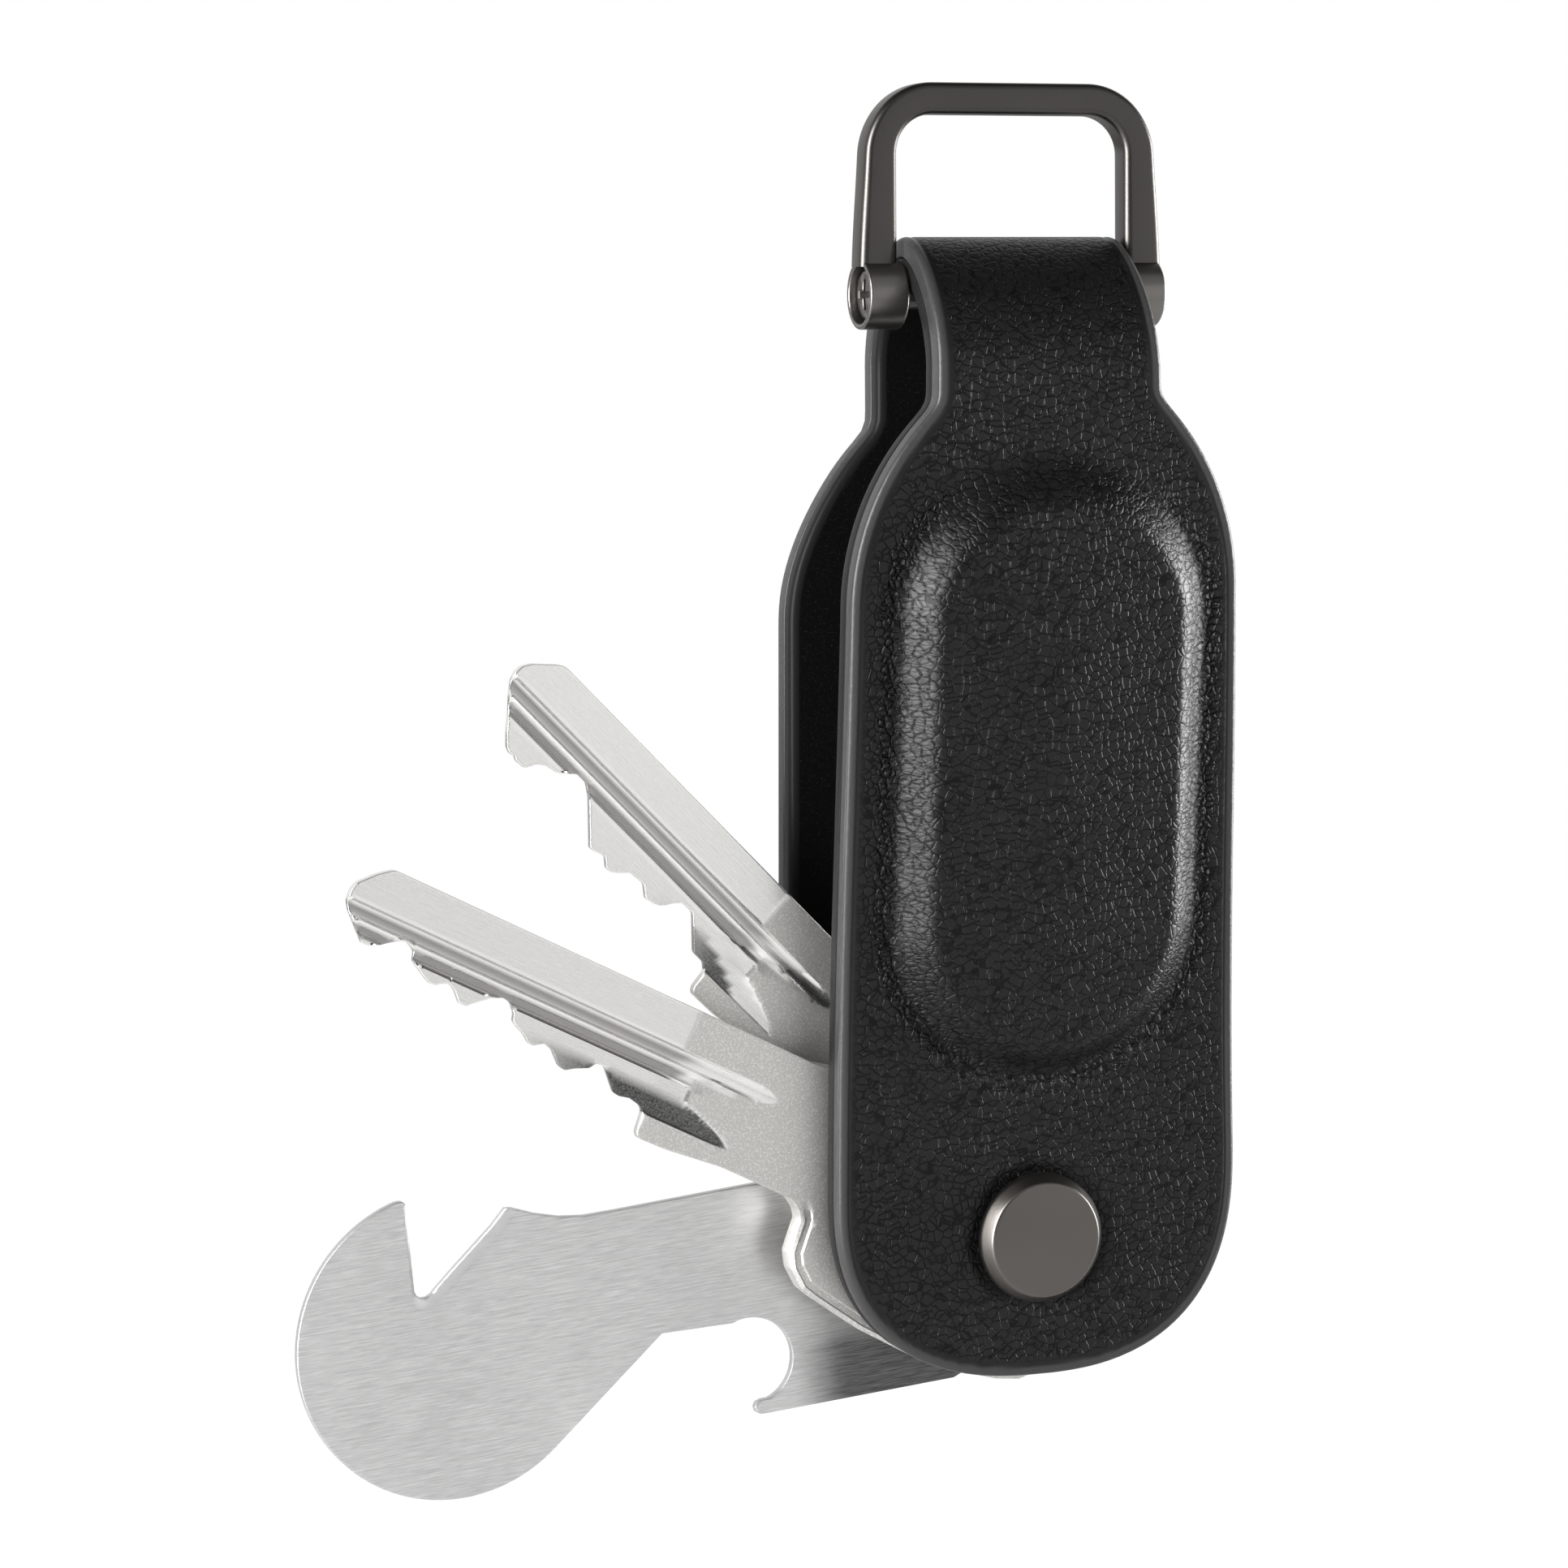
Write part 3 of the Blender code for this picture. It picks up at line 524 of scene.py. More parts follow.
def halfWidth(z, side, drop=0.0):
    # side 0 is the left half, 1 the right half
    z = np.asarray(z, float) + drop
    wide, narrow = strap["halfLow"][side], strap["halfHigh"][side]
    endRise, power, shoulder = (strap[name][side] for name in ("endRise", "squareness", "shoulder"))
    radius, neck, soft = strap["shoulderRadius"], strap["neckHalf"], strap["neckSoft"]
    top = strap["bottom"] + endRise
    fall = np.clip((top - z) / endRise, 0.0, 1.0)
    low = wide * (1 - fall**power) ** (1 / power)
    middle = wide + (narrow - wide) * np.clip((z - top) / (shoulder - top), 0.0, 1.0)
    # the round shoulder runs softly into the straight neck
    rise = np.clip(z - shoulder, 0.0, radius)
    roundSide = narrow - radius + np.sqrt(radius**2 - rise**2)
    high = neck + soft * np.logaddexp(0.0, (roundSide - neck) / soft)
    return np.where(z < top, low, np.where(z < shoulder, middle, high))


def frontFace(z):
    share = np.clip((np.asarray(z, float) - strap["spreadFrom"]) / strap["spreadOver"], 0.0, 1.0)
    return strap["frontFace"] - strap["spread"] * (1 - np.cos(np.pi * share)) / 2


def foldCurve(sideY, crestY):
    # (y, z) points from one leaf up to the crest
    out = -1 if sideY < crestY else 1
    corners = np.array([
        (sideY, strap["foldFrom"]), (sideY, strap["foldFrom"] + strap["sidePull"]),
        (crestY + out * strap["crestPull"], strap["crest"]), (crestY, strap["crest"]),
    ])
    t = np.linspace(0, 1, strap["foldSteps"])[:, None]
    a = 1 - t
    return a**3 * corners[0] + 3 * a * a * t * corners[1] + 3 * a * t * t * corners[2] + t**3 * corners[3]


def heights(step):
    # up one leaf, close together at its round end
    low = [0.006, 0.03, 0.08, 0.16, 0.26, 0.38, 0.55, 0.78]
    even = np.arange(1.1, strap["foldFrom"] - strap["bottom"] - 0.2, step)
    return strap["bottom"] + np.concatenate([low, even])


def strapPath():
    # columns of y, z, left half, right half and 1 on the front leaf, from the front end over the fold
    # to the rear end
    neckY = strap["frontFace"] - strap["spread"]
    crestY = (neckY + strap["rearFace"]) / 2
    front, rear = heights(strap["frontStep"]), heights(strap["rearStep"])[::-1]
    parts = [(frontFace(front), front, halfWidth(front, 0), halfWidth(front, 1), np.ones(len(front)))]
    climb, fall = foldCurve(neckY, crestY), foldCurve(strap["rearFace"], crestY)[::-1][1:]
    for curve, share in ((climb, 0.0), (fall, 1.0)):
        y, z = curve.T
        up = (z - strap["foldFrom"]) / (strap["crest"] - strap["foldFrom"])
        half = halfWidth(z, 0, strap["rearDrop"] * share) + (strap["foldHalf"] - strap["neckHalf"]) * up
        parts.append((y, z, half - strap["rearNarrow"] * share * (1 - up), half, np.zeros(len(z))))
    drop = strap["rearDrop"] * eased(rear, *strap["dropped"])
    left = halfWidth(rear, 0, drop) - strap["rearNarrow"] * eased(rear, *strap["narrowed"])
    y = np.full(len(rear), strap["rearFace"])
    parts.append((y, rear, left, halfWidth(rear, 1, drop), np.zeros(len(rear))))
    return np.concatenate([np.stack(part, 1) for part in parts]).T


def acrossShares(reach):
    # shares of the half width, close together at both edges
    fromEdge = [0.0, 0.03, 0.08, 0.15, 0.25, 0.37, 0.5, 0.62, 0.71, 0.8, 0.89, 1.0, 1.2]
    half = 1 - np.concatenate([fromEdge, np.linspace(1.6, reach, 40)]) / reach
    return np.concatenate([-half, half[:-1][::-1]])


def leatherFaces(count, wide):
    # over two grids of points, the outer face's first: both faces and the rim between them
    number = np.arange(count * wide).reshape(count, wide)
    back = number + count * wide
    faces = []
    for i in range(count - 1):
        for j in range(wide - 1):
            faces.append((number[i, j], number[i, j + 1], number[i + 1, j + 1], number[i + 1, j]))
            faces.append((back[i, j], back[i + 1, j], back[i + 1, j + 1], back[i, j + 1]))
    rim = np.concatenate([number[0, :-1], number[:-1, -1], number[-1, :0:-1], number[:0:-1, 0]])
    under = rim + count * wide
    following = np.roll(rim, -1), np.roll(under, -1)
    return faces + list(zip(rim, under, following[1], following[0]))


def layer(name, top, thick, outer, inner, material):
    # one leather along the strap's path: top is how deep it lies, outer and inner its edges' rounding
    pathY, pathZ, left, right, onFront = strapPath()
    path = np.stack([pathY, pathZ], 1)
    along = np.concatenate([[0.0], np.cumsum(np.hypot(np.diff(pathY), np.diff(pathZ)))])
    slope = np.gradient(path, along, axis=0)
    slope /= np.linalg.norm(slope, axis=1)[:, None]
    inward = np.stack([slope[:, 1], -slope[:, 0]], 1)
    reach = strap["halfLow"][1]
    across = acrossShares(reach)
    count, wide = len(along), len(across)

    def spread(values):
        # one value a row, over the whole width
        return np.repeat(values[:, None], wide, 1)

    x = np.where(across[None, :] < 0, left[:, None], right[:, None]) * across[None, :]
    outline = np.concatenate([np.stack([right, along], 1), np.stack([-left, along], 1)[::-1]])
    flat = np.stack([x, spread(along)], -1).reshape(-1, 2)
    gap = nearest(flat, outline).reshape(count, wide)
    isCover = top == 0
    shells = []
    for depth, (rim, deep), sign in ((top, outer, 1), (top + thick, inner, -1)):
        level = depth + sign * deep * (1 - np.sqrt(1 - np.clip(1 - gap / rim, 0.0, 1.0) ** 2))
        if isCover and sign > 0:
            # a pressed line inside the edge, and the front leaf slightly bowed
            level = level + strap["lineDeep"] * np.exp(-(((gap - strap["lineAt"]) / strap["lineWide"]) ** 2))
            bowed = onFront * (1 - eased(pathZ, *strap["unbowed"]))
            level = level + strap["bow"] * bowed[:, None] * (x / reach) ** 2
        y = pathY[:, None] + inward[:, 0][:, None] * level
        z = pathZ[:, None] + inward[:, 1][:, None] * level
        shells.append(np.stack([x, y, z], -1).reshape(-1, 3))
    piece = addPiece(name, np.concatenate(shells) * mm, leatherFaces(count, wide), material)
    # the skin laid flat, with the inner face's pattern apart from the outer's
    skin = np.column_stack([flat, np.zeros(len(flat))]) * mm
    givePlace(piece, "skin", np.concatenate([skin, skin + (0.0, 0.0, 0.02)]))
    masks = [("edge", 1 - eased(gap, *strap["painted"]), 1.0)]
    if isCover:
        # what raisePad() and the cover's finish read, each with its share on the inner face
        masks += [
            ("calm", 1 - eased(gap, *strap["calm"]), 1.0), ("tall", spread(pathZ) * mm, 1.0),
            ("fold", spread(eased(pathZ, *strap["creased"])), 0.0), ("front", spread(onFront), 0.0),
        ]
        out = np.repeat(np.stack([np.zeros(count), -inward[:, 0], -inward[:, 1]], 1), wide, axis=0)
        givePlace(piece, "outward", np.concatenate([out, out]))
    for mask, values, under in masks:
        giveMask(piece, mask, np.concatenate([np.ravel(values), np.ravel(values) * under]))
    return piece


def raisePad(piece, material):
    steps = Steps("RaisedPad", **{key: value * mm for key, value in pad.items()})
    spot, front, tall = steps.add("GeometryNodeInputPosition"), steps.mask("front"), steps.mask("tall")
    x = steps.part(spot, "X")
    half, wall, pressedTo = steps.given("half"), steps.given("wall"), steps.given("pressedTo")
    # inside is the distance from the foot of the pad, which is as round at its ends as it is wide
    lower, upper = steps.given("low") + half, steps.given("high") - half
    off = tall - tall.math("MAXIMUM", lower).math("MINIMUM", upper)
    side = x - steps.given("across")
    inside = half - (side * side + off * off).math("SQRT")
    wide = wall + (steps.given("topWall") - wall) * off.between(0.0, half)
    share = (inside / wide).math("MAXIMUM", 0.0).math("MINIMUM", 1.0)
    swell = 0.5 - (share.math("POWER", 0.92) * math.pi).math("COSINE") * 0.5
    dome = inside.between(wide * 0.75, half)
    rise = steps.given("height") * swell + steps.given("crown") * dome
    # the button presses the skin in round its rim
    toPost = (x * x + tall * tall).math("SQRT")
    pressed = 1.0 - toPost.between(pressedTo * 0.82, pressedTo)
    lift = (rise - pressed * steps.given("pressed")) * front
    out = steps.mask("outward", "FLOAT_VECTOR")
    offset = steps.add("ShaderNodeVectorMath", {"operation": "SCALE"}, {0: out, "Scale": lift})
    sockets = {"Geometry": steps.given("Geometry"), "Offset": offset}
    moved = steps.add("GeometryNodeSetPosition", {}, sockets)
    away = (inside - steps.given("crackAt")) / steps.given("crackWide")
    low = 1.0 - tall.between(steps.given("crackFades"), steps.given("crackGone"))
    ring = (away * away * -1.0).math("EXPONENT") * front * low
    slope = (share * (1.0 - share) * 4.0 * front).math("MAXIMUM", steps.mask("fold") * 0.25)
    stored = steps.store(steps.store(moved, "crease", ring), "slope", slope)
    return steps.run(piece, stored, material)


cover = layer("coverLeather", 0.0, strap["cover"], strap["edgeRound"], strap["seamRound"], finish["cover"])
raisePad(cover, finish["cover"])
settle(cover, "strap", "cover_leather", "cover_leather")
lining = layer(
    "liningLeather", strap["cover"] + strap["glue"], strap["lining"], strap["seamRound"], strap["innerRound"],
    finish["lining"],
)
settle(lining, "strap", "lining_leather", "lining_leather")
print("leather done:", len(cover.data.polygons), "faces in the cover")


# flat plates: their points are (across, along) from the post

def closedLine(points, step):
    # a closed line walked at about an even step, its own corners kept
    made = []
    for p, q in zip(points, points[1:] + points[:1]):
        p, q = np.array(p, float), np.array(q, float)
        count = max(1, round(np.hypot(*(q - p)) / step))
        made += [p + (q - p) * i / count for i in range(count)]
    return np.array(made)


def isInside(points, line):
    x, y = points[:, 0], points[:, 1]
    inside = np.zeros(len(points), bool)
    for (x1, y1), (x2, y2) in zip(line, np.roll(line, -1, axis=0)):
        crosses = (y1 > y) != (y2 > y)
        with np.errstate(divide="ignore", invalid="ignore"):
            at = (x2 - x1) * (y - y1) / (y2 - y1) + x1
        inside ^= crosses & (x < at)
    return inside


def insetRows(line, sizes):
    # rows of points inside the outline, for its bevel and its rims, the wider ones only below ringsBelow
    forward = np.roll(line, -1, axis=0) - np.roll(line, 1, axis=0)
    normal = np.stack([-forward[:, 1], forward[:, 0]], 1) / np.linalg.norm(forward, axis=1)[:, None]
    if np.sum(line[:, 0] * np.roll(line[:, 1], -1) - np.roll(line[:, 0], -1) * line[:, 1]) < 0:
        normal = -normal
    bevel = sizes["bevel"]
    rows = []
    for away in (bevel * 0.3, bevel * 0.65, bevel, *sizes["rings"]):
        moved = line + normal * away
        if away > 0.3:
            moved = moved[moved[:, 1] < sizes["ringsBelow"]]
        # a point that another stretch of the outline comes close to is left out
        rows.append(moved[nearest(moved, line) > away * 0.93])
    return rows


def gridPoints(line, sizes, lanes):
    # an even grid clear of the rows, with a column of points along each lane
    low, high = line.min(0), line.max(0)
    spread, rings = sizes["spread"], sizes["rings"]
    acrosses = sorted(set(np.round(np.arange(low[0], high[0], spread), 3)) | set(lanes))
    kept = [a for a in acrosses if a in lanes or all(abs(a - b) > spread * 0.35 for b in lanes)]
    grid = np.array([(a, b) for a in kept for b in np.arange(low[1], high[1], sizes["step"])])
    grid = grid[isInside(grid, line)]
    room = np.where(grid[:, 1] < sizes["ringsBelow"], rings[-1] + 0.12, rings[0] + 0.1)
    return grid[(nearest(grid, line) > room) & (np.hypot(*grid.T) > sizes["hole"] + 0.3)]


def plateNet(line, sizes, lanes, extra):
    # the plate's points and triangles, seen flat
    hole = sizes["hole"]
    turns = np.linspace(0, math.tau, 49)[:-1]
    ring = np.array([(hole * math.cos(a), hole * math.sin(a)) for a in turns])
    inner = np.concatenate([gridPoints(line, sizes, lanes)] + insetRows(line, sizes))
    extra = np.array([q for q in extra if isInside(np.array([q]), line)[0]])
    extra = extra[nearest(extra, line) > sizes["bevel"] * 0.5]
    clear = np.array([np.hypot(*(extra - q).T).min() > 0.12 for q in inner])
    inner = np.concatenate([inner[clear], extra])
    inner = inner[np.hypot(*inner.T) > hole + 0.1]
    points = [Vector(p) for p in np.concatenate([line, ring, inner])]
    edges = [(i, (i + 1) % len(line)) for i in range(len(line))]
    edges += [(len(line) + i, len(line) + (i + 1) % len(ring)) for i in range(len(ring))]
    verts, _, faces, _, _, _ = delaunay_2d_cdt(points, edges, [], 1, 1e-5)
    flat = np.array([tuple(v) for v in verts])
    middles = np.array([np.mean(flat[list(f)], axis=0) for f in faces])
    keep = isInside(middles, line) & (np.hypot(*middles.T) > hole)
    faces = [f for f, k in zip(faces, keep) if k]
    corners = flat[np.array(faces)]
    turn = np.cross(corners[:, 1] - corners[:, 0], corners[:, 2] - corners[:, 0])
    return flat, [f if t > 0 else f[::-1] for f, t in zip(faces, turn)]


def platePiece(name, sizes, outline, depthOf, edgeDrop, material, lanes, extra):
    # depthOf(points) is how deep the plate's front lies, and edgeDrop(points, gap, side) what is lost
    # there towards the outline; extra are points that mark where a shape ends
    line = closedLine(outline, sizes["edgeStep"])
    flat, faces = plateNet(line, sizes, lanes, extra)
    thick, bevel = sizes["thick"], sizes["bevel"]
    gap = nearest(flat, line)
    drop = bevel - np.sqrt(bevel**2 - np.clip(bevel - gap, 0.0, bevel) ** 2)
    deep = np.maximum(depthOf(flat), 0)
    front = -thick / 2 + deep + drop + edgeDrop(flat, gap, -1)
    rear = thick / 2 - drop - edgeDrop(flat, gap, 1)
    points = np.concatenate([np.stack([flat[:, 0], y, flat[:, 1]], 1) for y in (front, rear)])
    total = len(flat)
    made = [tuple(f) for f in faces] + [tuple(i + total for i in f[::-1]) for f in faces]
    sides = dict.fromkeys((i, j) for f in faces for i, j in zip(f, f[1:] + f[:1]))
    made += [(j, i, i + total, j + total) for i, j in sides if (j, i) not in sides]
    piece = addPiece(name, points * mm, made, material, sharp=32)
    # the blade's own place, with the rear face's pattern apart from the front's
    flat, isRear = np.concatenate([flat, flat]), np.repeat([0.0, 1.0], total)
    givePlace(piece, "blade", np.stack([flat[:, 0], isRear * 5.0, flat[:, 1]], 1) * mm)
    return piece, flat, np.concatenate([deep, np.full(total, -1.0)])


def swing(piece, degrees, y):
    # from its own plane to its place on the post
    piece.data.transform(Matrix.Translation((0, y * mm, 0)) @ Matrix.Rotation(-math.radians(degrees), 4, "Y"))


# the keys; upper, lower and land are the milled section, given across the blade with shares of the
# groove's depth, and a step is the share that the metal falls at once, and over what length
key = {
    "thick": 2.0, "hole": 2.6, "bevel": 0.09, "edgeStep": 0.24, "spread": 0.45, "step": 0.3,
    "rings": (0.2, 0.34, 0.46, 0.62, 0.9, 1.02), "ringsBelow": 18.0, "bowBelow": (15.5, 17.5),
    "rimDeep": 0.26, "lineDeep": 0.14, "lineFrom": (0.34, 0.46), "lineTo": (0.9, 1.02),
    "thinned": 1.1, "thinnedOver": 0.8, "thinnedFrom": (24.0, 26.0),
    "grooveDepth": 0.42, "seam": 31.2, "seamDepth": 0.05, "seamOver": 0.25,
    "upper": ((0.42, 0.25), (0.62, 0.85), (1.2, 1.0), (1.52, 0.75), (1.66, 0.0)),
    "lower": ((-0.80, 0.62), (-0.62, 0.80), (-0.45, 1.15), (0.0, 1.1), (0.36, 0.3)),
    "upperTop": 1.66, "split": 0.38, "lowerEdge": -0.82, "landTop": -0.80, "landDepth": 0.60,
    "tongueFrom": 22.6, "tongueRise": 2.6, "tongueAt": 1.02, "tongueHalf": 0.68,
    "tongueStep": (0.24, 1.6), "tongueRun": 9.0,
    "lowerFrom": 26.6, "lowerLean": 1.8, "lowerOver": (-1.0, 5.0), "lowerBare": (25.6, 26.4),
    "landFoot": -3.85, "landFrom": 24.74, "landRise": 4.6, "landRound": 1.9,
    "landStep": (0.3, 0.2), "landRun": 3.6, "stop": (31.9, 32.3),
    "sunkDepth": (0.30, 0.40), "sunkFrom": (27.5, 31.0), "darkBelow": (1.85, 2.25), "darkFades": 9.0,
}
keyFront = {"shift": 0.0, "open": 63.3, "y": 6.3, "darkFrom": 0.0, "darkTo": 45.0}
keyRear = {"shift": 0.95, "open": 44.3, "y": 8.9, "darkFrom": 4.4, "darkTo": 40.0}

# the cut of each key, as (along, across), back edge up
tipFront = [
    (57.08, 4.84), (57.55, 4.83), (57.98, 4.57), (58.72, 3.98), (59.80, 2.85), (59.99, 2.11), (59.90, 1.36),
    (59.45, .71), (58.23, -.39), (57.50, -1.06), (56.86, -.97),
]
teethFront = [
    (56.1, -.6), (54.9, .3), (54.4, .4), (53.6, 0), (53.4, -.7), (52.3, -1.3), (51.5, -1.7),
    (51, -1.6), (50.6, -1.3), (50.1, -1.1), (49.5, -1.4), (48.8, -2.1), (48.2, -2.1), (47.7, -1.6),
    (46.7, -.8), (45.8, -.4), (45.2, -.5), (44.6, -1.1), (44.4, -1.7), (43.8, -2), (43.1, -2.3),
    (42.6, -2.7), (42.2, -2.7), (41.4, -2.2), (40.7, -2.4), (39.7, -3.3), (39.1, -3.4), (38.5, -3),
    (37.4, -2.5), (37.1, -2), (36.4, -1.9), (35.8, -2.5), (34.9, -3.4), (34.4, -3.5), (33.5, -3.3),
    (32.5, -3.5), (32.2, -3.8),
]
tipRear = [
    (56.07, 4.87), (56.56, 4.83), (57.02, 4.56), (58.52, 3.20), (58.94, 2.55), (59.00, 1.90), (58.80, 1.25),
    (58.12, .39), (57.09, -.73), (56.32, -1.68), (55.46, -2.54), (54.93, -2.71), (54.57, -2.54),
    (54.27, -2.76), (53.37, -2.67), (52.85, -1.76), (52.17, -1.36),
]
teethRear = [
    (51.2, -1.15), (50, -.15), (49.1, -.15), (48.2, -.75), (45.4, -3.45), (45, -3.35), (44.1, -3.05),
    (43.4, -3.65), (42.8, -3.55), (41.7, -2.55), (40.4, -2.45), (39.5, -3.15), (38.4, -2.85), (38, -2.45),
    (37.5, -1.75), (37, -1.35), (36, -1.35), (33.8, -3.45), (32.7, -3.45), (32.2, -3.85),
]
stopSide = [(32.1, -4.6), (32.0, -5.4), (31.7, -5.75), (29.3, -5.7), (24.7, -5.2), (19.4, -5.2)]
backSide = [(19.4, 5.2), (21.0, 4.85)]
bowSide = [
    (18.2, -5.3), (17.4, -5.8), (16.9, -6.4), (16.8, -7.4), (16.6, -9), (15.9, -10.1), (14.4, -11.2),
    (13.1, -11.5), (8.7, -12.2), (4.2, -12.4), (-.2, -12.1), (-3.6, -11.4), (-5.4, -10.7), (-7.2, -9.0),
    (-8.3, -5.5), (-8.5, -2),
]


def keyOutline(cut, shift):
    otherSide = [(a, -b) for a, b in bowSide[::-1]]
    points = cut + stopSide + bowSide + otherSide + backSide
    return [(a + shift, b) for a, b in roundedOutline([(b, a) for a, b in points], 0.16, 2)]


def landStart(across):
    share = np.clip((across - key["landFoot"]) / key["landRound"], 0, 1)
    return key["landFrom"] + key["landRise"] * share**1.6


def tongueEnd(across):
    arch = 1 - np.sqrt(np.clip(1 - ((across - key["tongueAt"]) / key["tongueHalf"]) ** 2, 0, 1))
    return key["tongueFrom"] + key["tongueRise"] * arch


def milledDepth(across, along):
    # the upper groove, its lower step and the thinned cutting side each run out at their own place
    deep, split, seam = key["grooveDepth"], key["split"], key["seam"]
    (tongueShare, tongueOver), (landShare, landOver) = key["tongueStep"], key["landStep"]
    upper = np.interp(across, *zip(*key["upper"])) * (across > split) * (across < key["upperTop"])
    lower = np.interp(across, *zip(*key["lower"])) * (across > key["lowerEdge"]) * (across <= split)
    land = np.where(across <= key["landTop"], key["landDepth"], 0.0)
    tongue = tongueEnd(across)
    upperRun = tongueShare * eased(along, tongue, tongue + tongueOver)
    upperRun += (1 - tongueShare) * np.clip((along - tongue) / key["tongueRun"], 0, 1)
    lowerEnd = key["lowerFrom"] + key["lowerLean"] * np.clip(0.3 - across, 0, 1.2)
    lowerRun = eased(along, *(lowerEnd + over for over in key["lowerOver"]))
    start = landStart(across)
    landRun = landShare * eased(along, start, start + landOver)
    landRun += (1 - landShare) * eased(along, start, start + key["landRun"])
    made = deep * (upper * upperRun + lower * lowerRun + land * landRun)
    foot = deep * key["landDepth"] * eased(along, *key["stop"])
    made = np.where(across < key["landFoot"], np.minimum(made, foot), made)
    return made + (across >= key["upperTop"]) * key["seamDepth"] * eased(along, seam, seam + key["seamOver"])


def keyRim(flat, gap, side):
    if side > 0:
        near = 1 - eased(gap, 0.0, key["thinnedOver"])
        return key["thinned"] * near * eased(flat[:, 1], *key["thinnedFrom"])
    # a rounded rim and a sunk line inside it round the bow
    rim = key["rimDeep"] * (1 - eased(gap, 0.0, key["lineFrom"][0]))
    rim += key["lineDeep"] * eased(gap, *key["lineFrom"]) * (1 - eased(gap, *key["lineTo"]))
    return rim * (1 - eased(flat[:, 1], *key["bowBelow"]))


def keyMasks(across, along, depth, darkFrom, darkTo):
    # cast is the unmilled metal, the groove mask painted shade in the deepest parts of the grooves, and the
    # last mask a near-black wedge at the land's start
    split, foot, seam = key["split"], key["landFoot"], key["seam"]
    tongue, start = tongueEnd(across), landStart(across)
    milled = np.where(across > 1.6, eased(along, seam - 0.1, seam + 0.1), 0.0)
    middle = eased(along, tongue - 0.1, tongue + 0.3) * (across <= 1.67) * (across > split)
    middle += eased(along, *key["lowerBare"]) * (across <= split) * (across > -0.1)
    low = eased(along, start - 0.1, start + 0.05) * (across <= -0.1) * (across > foot)
    low += (across <= foot) * eased(along, 32.0, key["stop"][1])
    # painted shade over the deepest parts of the grooves
    deepShade = eased(depth, *key["sunkDepth"]) * (across > -0.85) * (across < key["upperTop"])
    deepShade *= eased(along, *key["sunkFrom"])
    # a wedge at the land's start, darkened to near black
    wedge = eased(along, start + darkFrom, start + darkFrom + 0.4)
    wedge *= 1 - eased(along, darkTo - key["darkFades"], darkTo)
    darkWedge = wedge * eased(-across, *key["darkBelow"]) * (depth >= 0) * (across > foot)
    return {"cast": 1 - np.clip(milled + middle + low, 0, 1), "groove": deepShade, "darkWedge": darkWedge}


def keyPiece(name, cut, own, node):
    shift = own["shift"]
    # columns of points along the edges of the milled section
    columns = (1.75, 1.66, 1.52, 1.2, 0.9, 0.62, 0.42, 0.36, 0.0, -0.45, -0.62, -0.80, -0.84, -3.8, -3.95)
    lanes = [round(v + shift, 3) for v in columns]
    # points along the ends of the milled parts
    landSteps, tongueSteps = np.arange(-3.8, -0.8, 0.12), np.arange(0.42, 1.66, 0.1)
    ends = [(a + shift, landStart(a) + off) for a in landSteps for off in (-0.12, 0.02, 0.2, 0.42)]
    ends += [(a + shift, tongueEnd(a) + off) for a in tongueSteps for off in (-0.12, 0.0, 0.3)]
    piece, flat, depth = platePiece(
        name, key, keyOutline(cut, shift), lambda flat: milledDepth(flat[:, 0] - shift, flat[:, 1]),
        keyRim, finish["nickel"], lanes, ends,
    )
    masks = keyMasks(flat[:, 0] - shift, flat[:, 1], depth, own["darkFrom"], own["darkTo"])
    for mask, values in masks.items():
        giveMask(piece, mask, values)
    swing(piece, own["open"], own["y"])
    return settle(piece, node, "nickel", node)


keyPiece("keyFront", tipFront + teethFront, keyFront, "key_front")
keyPiece("keyRear", tipRear + teethRear, keyRear, "key_rear")
print("keys done")

tool = {
    "thick": 1.5, "open": 95.3, "y": 11.25, "bevel": 0.10, "hole": 2.6,
    "edgeStep": 0.24, "spread": 0.7, "step": 0.7, "rings": (0.25, 0.5, 0.9), "ringsBelow": 99.0,
    "disc": 11.85, "discAlong": 44.6, "discAcross": -2.5, "hookRadius": 3.4, "hookAlong": 21.1,
    "hookAcross": -8.0, "heel": 7.6, "thinned": 0.7, "thinnedOver": 0.9,
    "notchSlope": 0.9, "slopeDeep": 0.16, "notchWall": 0.3, "wallDeep": 0.2, "notchAlong": 46.9,
    # where the painted shade near the post fades out, and how much weaker it is away from the hook
    "shadeFades": (13.2, 18.6), "shadeEdge": (-8.5, -6.0), "shadeLess": 0.45,
}
notchSide = [(7.1, 39.3), (5.9, 40.5), (3.1, 43.9), (1.9, 45.3)]
notchFoot = (1.4, 46.25)
notchTop = [(1.95, 46.9), (8.5, 46.87)]


def arc(across, along, radius, start, end, steps):
    turns = np.radians(np.linspace(start, end, steps))
    return [(across + radius * math.cos(a), along + radius * math.sin(a)) for a in turns]


def awayFrom(flat, line):
    # least distance to an open line
    best = np.full(len(flat), 99.0)
    for p, q in zip(np.array(line), np.array(line[1:])):
        d = q - p
        t = np.clip(((flat - p) @ d) / (d @ d), 0, 1)
        best = np.minimum(best, np.hypot(*(flat - p - t[:, None] * d).T))
    return best


